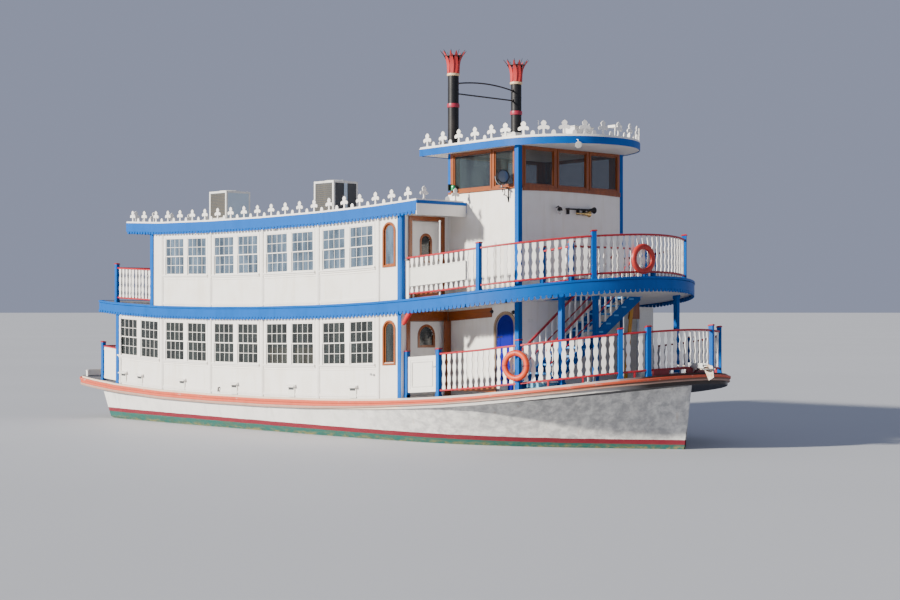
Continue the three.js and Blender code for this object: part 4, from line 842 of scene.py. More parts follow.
def make_fascias():
    pitch = bpy.context.scene.boat_sizes.lace_pitch
    band = Piece("gallery_fascia", "rail blue")
    edge = edge_path(UPPER_EDGE, 0)
    low, top = UPPER_FOOT - 0.035, UPPER_TOP - 0.062
    band.sweep(edge, [(-0.012, low), (0.022, low), (0.022, top), (-0.012, top)], closed=True)
    band.sweep(edge, [(-0.03, top + 0.009), (0.03, top + 0.009), (0.038, top + 0.02), (0.038, top + 0.06),
                      (0.03, top + 0.072), (-0.03, top + 0.072)], closed=True)
    line = edge_path(UPPER_EDGE, 0.008)
    foot, aft, front = ROOF_FOOT + 0.008, ROOF["aft"], ROOF["front"]
    for path in ([(x, y, low + 0.005) for x, y in line + line[:1]],
                 *([(x, y, foot) for x in (aft + 0.03, front - 0.03)] for y in (-3.602, 3.602)),
                 [(aft + 0.018, y, foot) for y in (-3.58, 3.58)]):
        band.along([path], pitch, scallop, pitch * 0.8, 0.085, 0.022)
    band.done("blue_paint", lift=sheer)

    face = Piece("roof_front_fascia", "trim white")
    for side in (-1, 1):
        ys = side * (TOWER_Y + 0.02), side * 3.61
        face.box(4.6, 4.632, *ys, ROOF_FOOT - 0.1, ROOF_TOP - 0.075)
        face.box(4.6, 4.64, *ys, ROOF_TOP - 0.075, ROOF_TOP + 0.004, "rail blue")
    face.done("white_paint", bevel=0.004, lift=sheer)


# Cabin walls: sashes, glass, ledges and mouldings

SASH = {"rim": 0.028, "deep": 0.03, "lap": 0.012, "bar": 0.014, "bar_in": 0.013}
ARCH = {"x": 3.475, "wide": 0.38, "tall": 1.05}


def arch_line(middle, wide, foot, tall):
    r = wide / 2
    return [(middle - r, foot), (middle + r, foot)] + arc(middle, foot + tall - r, r, r, 0, 180, 14)


def bay_windows(level):
    """The middle of each window of a side wall, in pairs."""
    reach = (WINDOW["wide"] + WINDOW["gap"]) / 2
    return [FIRST_BAY + (n + 0.5) * BAY + hand * reach for n in LEVELS[level]["bays"] for hand in (-1, 1)]


def sash_heights(plan):
    """Foot and head of the lower sash and of the upper one."""
    sill, half = plan["sill"], plan["glass"] / 2
    return (sill, sill + half + SASH["lap"]), (sill + half - SASH["lap"], sill + plan["glass"])


def glazing(piece, spots, inner, half, along_y=False):
    """Three upright bars and one level one in each sash; a spot is the middle of a sash's foot."""
    bar, tall, gap = SASH["bar"], half - 0.04, inner / 4
    upright, level, way = (bar, 0.02, tall), (inner, 0.018, bar), (gap, 0, 0)
    if along_y:
        upright, level, way = (0.02, bar, tall), (0.018, inner, bar), (0, 0.201, 0)
    piece.rows(spots, upright, way, 3, (-way[0], -way[1], half / 2))
    piece.rows(spots, level, way, 1, (0, 0, half / 2 + 0.006))


def side_trim(level, hand, side):
    plan, wide, gap, rim = LEVELS[level], WINDOW["wide"], WINDOW["gap"], SASH["rim"]
    sill, half, face = plan["sill"], plan["glass"] / 2, -WALL_Y
    head = sill + plan["glass"]
    trim = Piece(f"sashes_{level}_{hand}", "trim white")
    middles = bay_windows(level)
    sashes = list(zip(sash_heights(plan), (face + 0.014, face - 0.004)))
    for x in middles:
        for (z0, z1), y in sashes:
            trim.frame("x", x - wide / 2, x + wide / 2, z0, z1, y, y + SASH["deep"], rim)
    for (low, _), y in sashes:
        glazing(trim, [(x, y + SASH["bar_in"], low) for x in middles], wide - 2 * rim, half)

    def on_wall(x0, x1, out, z0, z1, paint=None):
        trim.box(x0, x1, face - out, face + 0.004, z0, z1, paint)

    for i in range(0, len(middles), 2):
        a, b = middles[i] - wide / 2, middles[i + 1] + wide / 2
        middle = (a + b) / 2
        start = FIRST_BAY + BAY * (plan["bays"][0] + i // 2)
        for x0, x1, z0, z1 in ((a - 0.07, a, sill - 0.05, head + 0.07), (b, b + 0.07, sill - 0.05, head + 0.07),
                               (a, b, head, head + 0.07), (middle - gap / 2, middle + gap / 2, sill, head)):
            on_wall(x0, x1, 0.014, z0, z1)
        on_wall(a - 0.1, b + 0.1, 0.062, sill - 0.04, sill - 0.0004)
        on_wall(a - 0.09, b + 0.09, 0.03, sill - 0.085, sill - 0.0402)
        left, right = start + 0.055, start + BAY - 0.055
        top, foot = sill - 0.125, plan["foot"] + 0.05
        on_wall(left, right, 0.016, top - 0.02, top)
        on_wall(left, right, 0.016, foot, foot + 0.07)
        on_wall(left, left + 0.035, 0.014, foot + 0.07, top - 0.02)
        on_wall(right - 0.035, right, 0.014, foot + 0.07, top - 0.02)
    for n in [*plan["bays"], plan["bays"][-1] + 1]:
        x = min(max(FIRST_BAY + BAY * n, plan["aft"] + 0.215), CABIN_FRONT - 0.9)
        on_wall(x - 0.036, x + 0.036, 0.034, plan["foot"] + 0.01, plan["head"] - 0.03)
    low, high = plan["foot"] + 0.0006, plan["head"] - 0.0006
    on_wall(plan["aft"] - 0.006, plan["aft"] + 0.137, 0.036, low, high, "rail blue")
    on_wall(CABIN_FRONT - 0.137, CABIN_FRONT - 0.0005, 0.036, low, high, "rail blue")
    foot = sill if level == "lower" else sill - 0.01

    def arched(grow, lift, taller):
        return arch_line(ARCH["x"], ARCH["wide"] + grow, foot + lift, ARCH["tall"] + taller)

    for outer, inner, near, far in (((0.11, -0.05, 0.1), (-0.004, 0.002, -0.004), -0.028, 0.02),
                                    ((-0.006, 0.003, -0.006), (-0.07, 0.035, -0.07), 0.012, 0.04)):
        trim.ring_prism(arched(*outer), arched(*inner), "y", face + near, face + far, "varnished wood")

    panes = Piece(f"glass_{level}_{hand}", "cabin glass" if level == "lower" else "upper glass")
    for x in middles:
        a, b = x - wide / 2 + 0.02, x + wide / 2 - 0.02
        panes.box(a, b, face + 0.024, face + 0.028, sill + 0.02, sill + half)
        panes.box(a, b, face + 0.006, face + 0.01, sill + half, head - 0.02)
    panes.prism(arched(-0.04, 0.02, -0.04), "y", face + 0.022, face + 0.027)
    for piece, bevel in ((trim, 0.003), (panes, 0)):
        piece.rise(sheer)
        if side > 0:
            piece.mirror()
        piece.done("white_paint", bevel=bevel)


def aft_trim(level):
    plan, rim = LEVELS[level], SASH["rim"]
    x, sill, half = plan["aft"], plan["sill"], plan["glass"] / 2
    head = sill + plan["glass"]
    trim = Piece(f"sashes_{level}_aft", "trim white")
    panes = Piece(f"glass_{level}_aft", "cabin glass")
    for y in (-2.2, 1.9):
        a, b = y - 0.43, y + 0.43
        for (z0, z1), x0 in zip(sash_heights(plan), (x + 0.01, x - 0.006)):
            trim.frame("y", a, b, z0, z1, x0, x0 + SASH["deep"], rim)
            glazing(trim, [(x0 + SASH["bar_in"], y, z0)], 0.8, half, True)
            panes.box(x0 + 0.011, x0 + 0.015, a + 0.02, b - 0.02, z0 + 0.02, z1 - 0.02)
        for out, y0, y1, z0, z1 in ((0.014, a - 0.07, a, sill - 0.05, head + 0.07),
                                    (0.014, b, b + 0.07, sill - 0.05, head + 0.07), (0.014, a, b, head, head + 0.07),
                                    (0.055, a - 0.1, b + 0.1, sill - 0.045, sill - 0.0004)):
            trim.box(x - out, x + 0.004, y0, y1, z0, z1)
    for side in (-1, 1):
        trim.box(x - 0.005, x + 0.1, side * (WALL_Y + 0.004), side * (WALL_Y - 0.06), plan["foot"] + 0.0006,
                 plan["head"] - 0.0006, "rail blue")
    trim.done("white_paint", bevel=0.003, lift=sheer)
    panes.done("white_paint", lift=sheer)


def make_vents():
    """Small hooded vents, a scupper and two fittings on the cabin sides, and the lamps over them."""
    vents = Piece("side_vents", "trim white")
    face = -WALL_Y
    for x, h in ((-8.62, 0.36), (-7.75, 0.34), (-5.55, 0.33), (-3.02, 0.31), (-0.45, 0.31), (2.1, 0.31)):
        vents.prism([(face, h + 0.1), (face - 0.11, h + 0.045), (face - 0.11, h + 0.022), (face, h + 0.022)],
                    "x", x - 0.2, x + 0.16)
        vents.box(x - 0.16, x + 0.12, face - 0.03, face + 0.002, h - 0.24, h + 0.022, "board white")
        vents.box(x - 0.13, x + 0.09, face - 0.032, face - 0.029, h - 0.05, h + 0.012, "louvre dark")
    vents.tube([(-3.75, face + 0.01, 0.24), (-3.75, face - 0.05, 0.23), (-3.75, face - 0.06, 0.12)], 0.022,
               paint="iron black")
    for x, h in ((2.78, 0.68), (2.9, 0.66)):
        vents.lathe([(0.03, 0), (0.03, 0.03), (0.018, 0.05)], (x, face, h), 10, (0, -1, 0), "galvanised")
    vents.done("white_paint", bevel=0.002, lift=sheer)
    lamps = Piece("fascia_lamps", "brass")
    z = ROOF_FOOT
    for x in (-4.8, -1.2, 2.55):
        lamps.tube([(x, -3.5, z - 0.002), (x, -3.555, z - 0.03)], 0.014)
        lamps.lathe([(0, -0.03), (0.035, -0.02), (0.042, 0.02), (0.025, 0.05), (0, 0.055)],
                    (x, -3.56, z - 0.07), 12, paint="lamp glass")
        lamps.lathe([(0.05, 0), (0.05, 0.012), (0, 0.02)], (x, -3.56, z - 0.02), 12)
    for x, y in ((6.15, -3.38), (7.25, -3.1), (8.2, -2.55)):
        lamps.lathe([(0.05, 0), (0.05, -0.03), (0.034, -0.05), (0.034, -0.09), (0, -0.11)],
                    (x, y, UPPER_FOOT), 12, paint="iron black")
    lamps.done("bronze", lift=sheer)


def make_windows():
    for level in LEVELS:
        for hand, side in SIDES:
            side_trim(level, hand, side)
        aft_trim(level)
    make_vents()


# Railings

RAIL = {"top": 1.08, "bottom": 0.13, "bar": 0.045, "wide": 0.064}
POST_HALF, POST_TALL = 0.055, 1.17
MAIN_RAIL, UPPER_RAIL = 3.36, 3.37
BALUSTER = [(0, 0.5), (0.07, 0.5), (0.15, 0.3), (0.24, 0.5), (0.33, 0.52), (0.44, 0.28),
            (0.56, 0.5), (0.66, 0.52), (0.77, 0.27), (0.88, 0.5), (1, 0.5)]


def baluster(made, low, high, wide, thick):
    """A sawn baluster board: a wavy outline, widest at its foot and its middle."""
    right = [(wide * w, low + (high - low) * t) for t, w in BALUSTER]
    made.prism(right + [(-x, z) for x, z in reversed(right)], "y", -thick / 2, thick / 2)


def between_posts(path, posts, keep=0.075):
    """The stretches of a path between its posts, with a little kept clear at each."""
    spots = [Vector(p) for p in path]
    fine = [spots[0]]
    for a, b in zip(spots, spots[1:]):
        parts = max(1, int((b - a).length / 0.05))
        fine += [a.lerp(b, (k + 1) / parts) for k in range(parts)]
    found = [[]]
    for p in fine:
        if all((p - Vector(q)).length > keep for q in posts):
            found[-1].append((p.x, p.y))
        elif found[-1]:
            found.append([])
    return [line for line in found if len(line) > 2]


def railing(piece, path, posts, floor, pitch, tall=RAIL["top"]):
    """Rails top and bottom, sawn balusters between the posts."""
    bar, wide, bottom = RAIL["bar"], RAIL["wide"], RAIL["bottom"]
    piece.bar(path, wide, floor + tall - bar, floor + tall, "rail red")
    piece.bar(path, wide * 0.8, floor + bottom, floor + bottom + bar, "rail red")
    runs = [[(x, y, floor) for x, y in line] for line in between_posts(path, posts)]
    piece.along(runs, pitch, baluster, bottom + bar - 0.004, tall - bar + 0.004, pitch * 0.62, 0.02)


def post(piece, x, y, floor, top, turn=0, capped=True):
    h = POST_HALF
    piece.block(x, y, h, h, floor + 0.0704, top, "rail blue", turn)
    piece.block(x, y, h + 0.008, h + 0.008, floor + 0.0004, floor + 0.07, "rail blue", turn)
    if capped:
        piece.block(x, y, 0.07, 0.07, top + 0.0004, top + 0.024, "rail red", turn)
        piece.block(x, y, h, h, top + 0.0244, top + 0.036, "rail red", turn)


def bow_rail(name, start, radius, cx, turns, floor, pitch):
    """A rail up both sides and round a bow, with posts at the given turns."""
    path = [(start, -radius)] + arc(cx, 0, radius, radius, -90, 90, 60) + [(start, radius)]
    posts = [polar(cx, radius, a) for a in turns]
    rail = Piece(name, "trim white")
    railing(rail, path, posts + [path[0], path[-1]], floor, pitch)
    for (x, y), a in zip(posts, turns):
        post(rail, x, y, floor, floor + POST_TALL, 0 if abs(a) > 60 else math.radians(a))
    return rail


def make_main_rail():
    r, cx, gate_end = MAIN_RAIL, MAIN_EDGE["bow"], 5.165
    rail = bow_rail("main_deck_railing", gate_end, r, cx, (-77, -35, -23, 16, 29, 77), DECK_TOP,
                    bpy.context.scene.boat_sizes.main_baluster_pitch)
    for y in (-r, r):
        post(rail, gate_end, y, DECK_TOP, DECK_TOP + POST_TALL)
    foot = DECK_TOP + 0.0105
    for start, end, low, high in ((-21.5, -14, foot, 0.19), (-14, -4.5, foot, 0.075),
                                  (-14, -4.5, 0.165, 0.19), (-4.5, 14.5, foot, 0.19)):
        line = arc(cx, 0, r + 0.055, r + 0.055, start, end, 8)
        rail.sweep(line, [(-0.02, low), (0.02, low), (0.02, high), (-0.02, high)], "toe board red")
    rail.box(10.24, 10.27, -0.78, -0.36, 0.098, 0.118, turn=math.radians(-9))
    for a in (-64, -50, -29, -14, 6, 22, 40, 56, 66):
        rail.block(*polar(cx, r, a), 0.03, 0.02, foot, DECK_TOP + 0.135, "rail red", math.radians(a))
    rail.done("white_paint", "main_deck_rail", bevel=0.003, lift=sheer)


def make_upper_rail():
    r, floor = UPPER_RAIL, UPPER_TOP
    rail = bow_rail("upper_deck_railing", CABIN_FRONT + 0.075, r, UPPER_EDGE["bow"], (-80, -31, 31, 80), floor,
                    bpy.context.scene.boat_sizes.upper_baluster_pitch)
    for y in (-r, r):
        rail.box(CABIN_FRONT + 0.03, CABIN_FRONT + 0.16, y - 0.03, y + 0.03, floor, floor + 0.98)
    for side in (-1, 1):
        out = side * (r + 0.04)
        rail.box(4.17, 6.17, side * (r + 0.018), out, floor + 0.33, floor + 0.79, "board white")
        for x0, x1, z0, z1 in ((4.17, 6.17, 0.33, 0.352), (4.17, 6.17, 0.768, 0.79),
                               (4.17, 4.192, 0.352, 0.768), (6.148, 6.17, 0.352, 0.768)):
            rail.box(x0, x1, out, out + side * 0.01, floor + z0, floor + z1, "board white")
    rail.done("white_paint", "upper_deck_rail", bevel=0.003, lift=sheer)


def make_stern_rails():
    sizes = bpy.context.scene.boat_sizes
    ends = (-UPPER_RAIL, UPPER_RAIL)
    aft = LEVELS["upper"]["aft"] - 0.075
    upper = Piece("upper_stern_railing", "trim white")
    path = [(aft, ends[0]), (-9.22, ends[0]), (-9.22, ends[1]), (aft, ends[1])]
    posts = [(-9.22, y) for y in (ends[0], -1.12, 1.12, ends[1])]
    railing(upper, path, posts + [path[0], path[-1]], UPPER_TOP, sizes.upper_baluster_pitch)
    for x, y in posts:
        post(upper, x, y, UPPER_TOP, UPPER_TOP + POST_TALL)
    for y in ends:
        post(upper, aft, y, UPPER_TOP, ROOF_FOOT - 0.0004, capped=False)
    upper.done("white_paint", "upper_stern_rail", bevel=0.003, lift=sheer)

    aft = LEVELS["lower"]["aft"] - 0.075
    lower = Piece("main_stern_railing", "trim white")
    posts = [(-9.98, y) for y in (ends[0], -1.12, 1.12, ends[1])]
    railing(lower, [posts[0], posts[-1]], posts, DECK_TOP, sizes.main_baluster_pitch)
    for y in ends:
        lower.bar([(aft, y), (-9.98, y)], RAIL["wide"], DECK_TOP + 1.035, DECK_TOP + 1.08, "rail red")
        for half, z0, z1 in ((0.012, 0.06, 1.034), (0.02, 0.06, 0.15), (0.02, 0.93, 1.02)):
            lower.box(-9.925, aft - 0.055, y - half, y + half, DECK_TOP + z0, DECK_TOP + z1)
        post(lower, aft, y, DECK_TOP, UPPER_FOOT - 0.0004, capped=False)
    for x, y in posts:
        post(lower, x, y, DECK_TOP, DECK_TOP + POST_TALL)
    lower.done("white_paint", "main_stern_rail", bevel=0.003, lift=sheer)

    well = Piece("stairwell_railing", "trim white")
    path = [(7.01, -1.56), (7.96, -1.56), (7.96, 1.25)]
    railing(well, path, path, UPPER_TOP, sizes.upper_baluster_pitch, tall=0.98)
    for x, y in path:
        post(well, x, y, UPPER_TOP, UPPER_TOP + 1.05)
    well.done("white_paint", "stairwell_rail", bevel=0.003, lift=sheer)


def make_columns():
    foot, head, c = DECK_TOP + 0.0003, UPPER_FOOT - 0.0003, 0.06
    for name, x, y in (("bow_column_starboard", 8.22, -2.2), ("bow_column_port", 8.22, 2.2),
                       ("stair_column", 7.975, -0.68)):
        column = Piece(name + "_turned", "rail blue")
        column.block(x, y, c, c, foot, head)
        column.block(x, y, c + 0.018, c + 0.018, foot, foot + 0.1)
        column.block(x, y, c + 0.014, c + 0.014, head - 0.09, head)
        column.done("blue_paint", name, bevel=0.006, lift=sheer)
    for hand, side in SIDES:
        tall = Piece(f"tower_column_{hand}_post", "rail blue")
        x = TOWER_FRONT - 0.07
        tall.block(x, side * 1.9303, 0.07, 0.0697, foot, HOUSE_FOOT + house_rise(x) - sheer(x))
        tall.done("blue_paint", "tower_column_" + hand, bevel=0.008, lift=sheer)


# Gates and doors

def make_gates():
    x0, x1 = CABIN_FRONT + 0.1183, 5.1
    foot, tall = DECK_TOP + 0.13, 0.9
    head = foot + tall

    def inset(by):
        return [(x0 + by, foot + by), (x1 - by, foot + by), (x1 - by, head - by), (x0 + by, head - by)]

    for hand, side in SIDES:
        gate = Piece("gate_panel_" + hand, "trim white")
        y = side * 3.36
        gate.box(x0, x1, y - 0.012, y + 0.012, foot, head)
        low, high = foot + 0.09, head - 0.09
        for a, b, z0, z1 in ((x0, x1, foot, low), (x0, x1, high, head), (x0, x0 + 0.08, low, high),
                             (x1 - 0.08, x1, low, high)):
            gate.box(a, b, y - 0.022, y + 0.022, z0, z1)
        gate.ring_prism(inset(0.13), inset(0.155), "y", y + side * 0.022, y + side * 0.028, "casing grey")
        for z in (foot + 0.15, head - 0.28):
            inner = y - side * 0.022
            gate.tube([(x0, inner, z), (x0, inner, z + 0.13)], 0.0077, paint="galvanised")
            gate.box(x0 + 0.004, x0 + 0.16, y - side * 0.0221, y - side * 0.0255, z + 0.045, z + 0.085, "galvanised")
        gate.box(x1 - 0.16, x1 - 0.02, y + side * 0.022, y + side * 0.034, foot + 0.6, foot + 0.64, "galvanised")
        gate.done("white_paint", "boarding_gate_" + hand, body="boarding_gate_" + hand, bevel=0.003, lift=sheer)
        standard = Piece(f"gate_post_{hand}_capped", "rail blue")
        x, ground, top = CABIN_FRONT + 0.0553, DECK_TOP + 0.0003, DECK_TOP + POST_TALL
        standard.block(x, y, POST_HALF, POST_HALF, ground, top)
        standard.block(x, y, POST_HALF, 0.066, ground, DECK_TOP + 0.08)
        standard.box(x - POST_HALF, x + 0.07, y - 0.07, y + 0.07, top, top + 0.022, "rail red")
        standard.done("blue_paint", "gate_post_" + hand, bevel=0.004, lift=sheer)


# How far out a door hangs, its width, foot and height, and its pane's width, foot and height.
FRONT_DOORS = {
    "lower": (3.21, 1.18, 0.11, 1.87, 0.48, 1.38, 0.47),
    "upper": (3.14, 1, 2.59, 1.95, 0.3, 3.56, 0.62),
}
AFT_DOORS = {
    "lower": (0.5, 0.9, 0.11, 1.83, 0.52, 1.15, 0.62),
    "upper": (0.5, 0.9, 2.59, 1.95, 0.52, 3.75, 0.62),
}
DOOR_THICK = 0.04
TOWER_DOOR_X = 6.01
KNOB = [(0.022, 0), (0.022, 0.008), (0.009, 0.012), (0.009, 0.03), (0.024, 0.038), (0.026, 0.052), (0, 0.062)]


def dress_cross_door(name, x, side, plan):
    """Casing, glass, handle and mouldings of a door that hangs across the boat."""
    hinge, wide, foot, tall, pane, pane_foot, pane_tall = plan
    near, far = side * hinge, side * (hinge - wide)
    left, right = min(near, far) + 0.02, max(near, far) - 0.02
    middle, back, head = (near + far) / 2, x + DOOR_THICK, foot + tall
    extra = Piece(name + "_fittings", "trim white")
    outer = arch_line(middle, pane + 0.13, pane_foot - 0.065, pane_tall + 0.13)
    inner = arch_line(middle, pane - 0.004, pane_foot + 0.002, pane_tall - 0.004)
    extra.ring_prism(outer, inner, "x", x - 0.012, back + 0.012, "varnished wood")
    extra.prism(arch_line(middle, pane + 0.01, pane_foot - 0.005, pane_tall + 0.01), "x", x + 0.017, x + 0.023,
                "cabin glass")
    low = pane_foot - 0.15
    for face, way in ((x, -1), (back, 1)):
        out = face + way * 0.009
        for z0, z1 in ((foot + 0.01, foot + 0.13), (low - 0.05, low + 0.03), (head - 0.1, head - 0.01)):
            extra.box(face, out, left, right, z0, z1)
        for edge in (left, right - 0.08):
            extra.box(face, out, edge, edge + 0.08, foot + 0.13, low - 0.05)
            extra.box(face, out, edge, edge + 0.08, low + 0.03, head - 0.1)
        extra.lathe(KNOB, (out, far + side * 0.06, foot + 0.98), 12, (way, 0, 0), "brass")
    extra.done("wood_trim", body=name, bevel=0.002, lift=lambda _: sheer(x))


def make_doors():
    for level in LEVELS:
        for hand, side in SIDES:
            dress_cross_door(f"{level}_front_door_{hand}", CABIN_FRONT - 0.06, side, FRONT_DOORS[level])
        dress_cross_door(f"{level}_aft_door", LEVELS[level]["aft"] + 0.02, 1, AFT_DOORS[level])
    for hand, side in SIDES:
        name = "tower_door_" + hand
        extra = Piece(name + "_fittings", "door blue")
        x, y = TOWER_DOOR_X, TOWER_Y - 0.06 + DOOR_THICK
        extra.ring_prism(arch_line(x, 0.44, 0.25, 1.62), arch_line(x, 0.38, 0.28, 1.56), "y", y - 0.002, y + 0.008)
        extra.box(5.8, 6.22, y - 0.002, y + 0.007, 0.95, 1.01)
        extra.lathe([(0.022, 0), (0.022, 0.008), (0.01, 0.012), (0.026, 0.036), (0, 0.05)],
                    (6.25, y, 1.05), 12, (0, 1, 0), "brass")
        for z in (0.36, 1.45):
            extra.box(5.715, 5.9, y - 0.001, y + 0.006, z, z + 0.035, "iron black")
        if side < 0:
            extra.mirror()
        extra.done("deep_blue_paint", body=name, bevel=0.002, lift=sheer)


def make_door_casings():
    """Wooden frames and header beams round the doors, which stay with the walls."""
    casing = Piece("door_casings", "varnished wood")
    f = CABIN_FRONT
    for side in (-1, 1):
        for level, beam in (("lower", 0.25), ("upper", 0.13)):
            hinge, wide, foot, tall = FRONT_DOORS[level][:4]
            near, far, head = side * (hinge + 0.012), side * (hinge - wide - 0.012), foot + tall
            for y, grow in ((near, side), (far, -side)):
                casing.box(f + 0.0005, f + 0.036, y, y + grow * 0.115, foot - 0.04, head + beam)
            casing.box(f + 0.0005, f + 0.036, near, far, head + 0.01, head + beam, "varnished rail")
        casing.box(f + 0.04, 5.55, side * 1.862, side * 1.9, 1.99, 2.23, "varnished rail")
        casing.box(4.02, 4.06, side * 1.862, side * 2.1, 0.06, 1.99)
        casing.ring_prism(arch_line(TOWER_DOOR_X, 0.77, 0.06, 2.035), arch_line(TOWER_DOOR_X, 0.63, 0.11, 1.91), "y",
                          side * 1.859, side * 1.892, "tan casing")
        casing.box(f + 0.0003, f + 0.028, side * 3.507, side * 3.4, UPPER_TOP + 0.0006, ROOF_FOOT - 0.0006,
                   "rail blue")
    casing.done("wood_trim", bevel=0.004, lift=sheer)


# Stair

def make_stair():
    aft, fore, foot_y, head_y, steps = 7, 7.85, -2.35, 1.2, 12
    middle, inside = (aft + fore) / 2, fore - aft - 0.06
    foot_z, head_z = sheer(middle) + DECK_TOP, sheer(middle) + UPPER_TOP
    rise, go = (head_z - foot_z) / steps, (head_y - foot_y) / steps
    flight = Piece("bow_stair", "rail blue")
    for x in (aft, fore - 0.032):
        ground = sheer(x + 0.032) + DECK_TOP + 0.0003
        flight.prism([(foot_y - 0.06, ground), (foot_y + 0.19, ground), (head_y, head_z - 0.29),
                      (head_y, head_z + 0.02), (head_y - 0.12, head_z + 0.02), (foot_y - 0.06, foot_z + 0.13)],
                     "x", x, x + 0.032)
        edge = x + (0.034 if x > middle else -0.002)
        for i in range(1, steps):
            y, z = foot_y + go * (i - 0.35), foot_z + rise * i
            flight.box(edge - 0.002, edge + 0.002, y - 0.05, y + 0.13, z - 0.07, z - 0.03, "tread blue")
    flight.rows([(middle, foot_y + 0.16, foot_z + rise - 0.017)], (inside, go + 0.03, 0.034), (0, go, rise),
                steps - 1, paint="tread blue")
    flight.rows([(middle, foot_y + 0.025, foot_z + rise - 0.02)], (inside, 0.03, 0.05), (0, go, rise), steps - 1)

    y0, y1, slope = foot_y + 0.04, head_y - 0.04, rise / go
    z0, z1 = (foot_z + (y - foot_y) * slope for y in (y0, y1))
    count = 16
    step = (y1 - y0 - 0.04) / count
    for x in (aft + 0.016, fore - 0.016):
        for half, low, high in ((0.022, 0.905, 0.96), (0.012, 0.5, 0.53)):
            flight.prism([(y0, z0 + low), (y1, z1 + low), (y1, z1 + high), (y0, z0 + high)], "x", x - half, x + half,
                         "rail red")
        flight.rows([(x, y0 + 0.02, z0 + 0.02 * slope + 0.47)], (0.022, 0.055, 0.86), (0, step, step * slope),
                    count + 1, paint="trim white")
    flight.done("blue_paint", "stair", bevel=0.003)


# Tower and wheelhouse

HOUSE_ROOF = {"half": 2.18, "reach": 2.12, "nose": 6.05, "aft": 3.21}
LIGHTS = {"foot": 6.44, "head": 7.33, "rim": 0.028, "case": 0.05}
SIDE_LIGHTS = ((4.16, 5.49), (5.63, 6.29))
FRONT_PITCH, FRONT_WIDE = 1.228, 1.04


def make_wheelhouse():
    foot, head, rim, case = (LIGHTS[key] for key in ("foot", "head", "rim", "case"))
    house = Piece("wheelhouse_sashes", "varnished wood")
    panes = Piece("wheelhouse_glass", "house glass")

    def sash(along, a, b, near, far, pane, stile=rim):
        house.frame(along, a, b, foot, head, near, far, stile, rail=rim)
        spans = (a + 0.02, b - 0.02, pane - 0.003, pane + 0.003)
        panes.box(*(spans if along == "x" else spans[2:] + spans[:2]), foot + 0.02, head - 0.02)

    def casing(along, a, b, near, far):
        house.frame(along, a - case, b + case, foot - case, head + case, near, far, case)

    for side in (-1, 1):
        y, wall = side * (TOWER_Y - 0.045), side * (TOWER_Y + 0.0005)
        for a, b in SIDE_LIGHTS:
            sash("x", a, b, y, y + side * 0.035, y + side * 0.014)
            casing("x", a, b, wall, side * (TOWER_Y + 0.018))
        house.box(4.05, 6.455, wall, side * (TOWER_Y + 0.045), 6.345, 6.388, "varnished rail")
    x = TOWER_FRONT
    for i in (-1, 0, 1):
        a, b = i * FRONT_PITCH - FRONT_WIDE / 2, i * FRONT_PITCH + FRONT_WIDE / 2
        sash("y", a, b, x - 0.045, x - 0.01, x - 0.027)
        casing("y", a, b, x + 0.0005, x + 0.018)
    dip = [(-1.855, 6.272), (-1.3, 6.291), (-0.65, 6.303), (0, 6.307), (0.65, 6.303), (1.3, 6.291), (1.855, 6.272)]
    house.prism(dip + [(1.855, 6.388), (-1.855, 6.388)], "x", x + 0.0008, x + 0.03)
    x = CABIN_FRONT + 0.0003
    for y in (-0.9, 0.9):
        sash("y", y - 0.6, y + 0.6, x + 0.012, x + 0.045, x + 0.029, 0.03)
    for side in (-1, 1):
        house.box(CABIN_FRONT - 0.004, CABIN_FRONT + 0.085, side * (TOWER_Y + 0.004), side * (TOWER_Y - 0.06),
                  6.4, 7.39, "rail blue")
    house.done("wood_trim", bevel=0.003, lift=house_rise)
    panes.done("wood_trim", lift=house_rise)


def make_house_roof():
    roof = Piece("wheelhouse_roof_fascia", "rail blue")
    half, aft = HOUSE_ROOF["half"], HOUSE_ROOF["aft"]
    edge = [(aft, -half)] + arc(HOUSE_ROOF["nose"], 0, HOUSE_ROOF["reach"], half, -90, 90, 48) + [(aft, half)]
    top, low = HOUSE_TOP, HOUSE_FOOT - 0.014
    roof.sweep(edge, [(-0.02, low), (0.004, low), (0.004, top - 0.012), (-0.02, top - 0.012)], closed=True)
    roof.sweep(edge, [(-0.06, top - 0.012), (0.006, top - 0.012), (0.008, top - 0.004), (0.002, top + 0.008),
                      (-0.06, top + 0.008)], "trim white", True)
    roof.done("blue_paint", lift=house_rise)


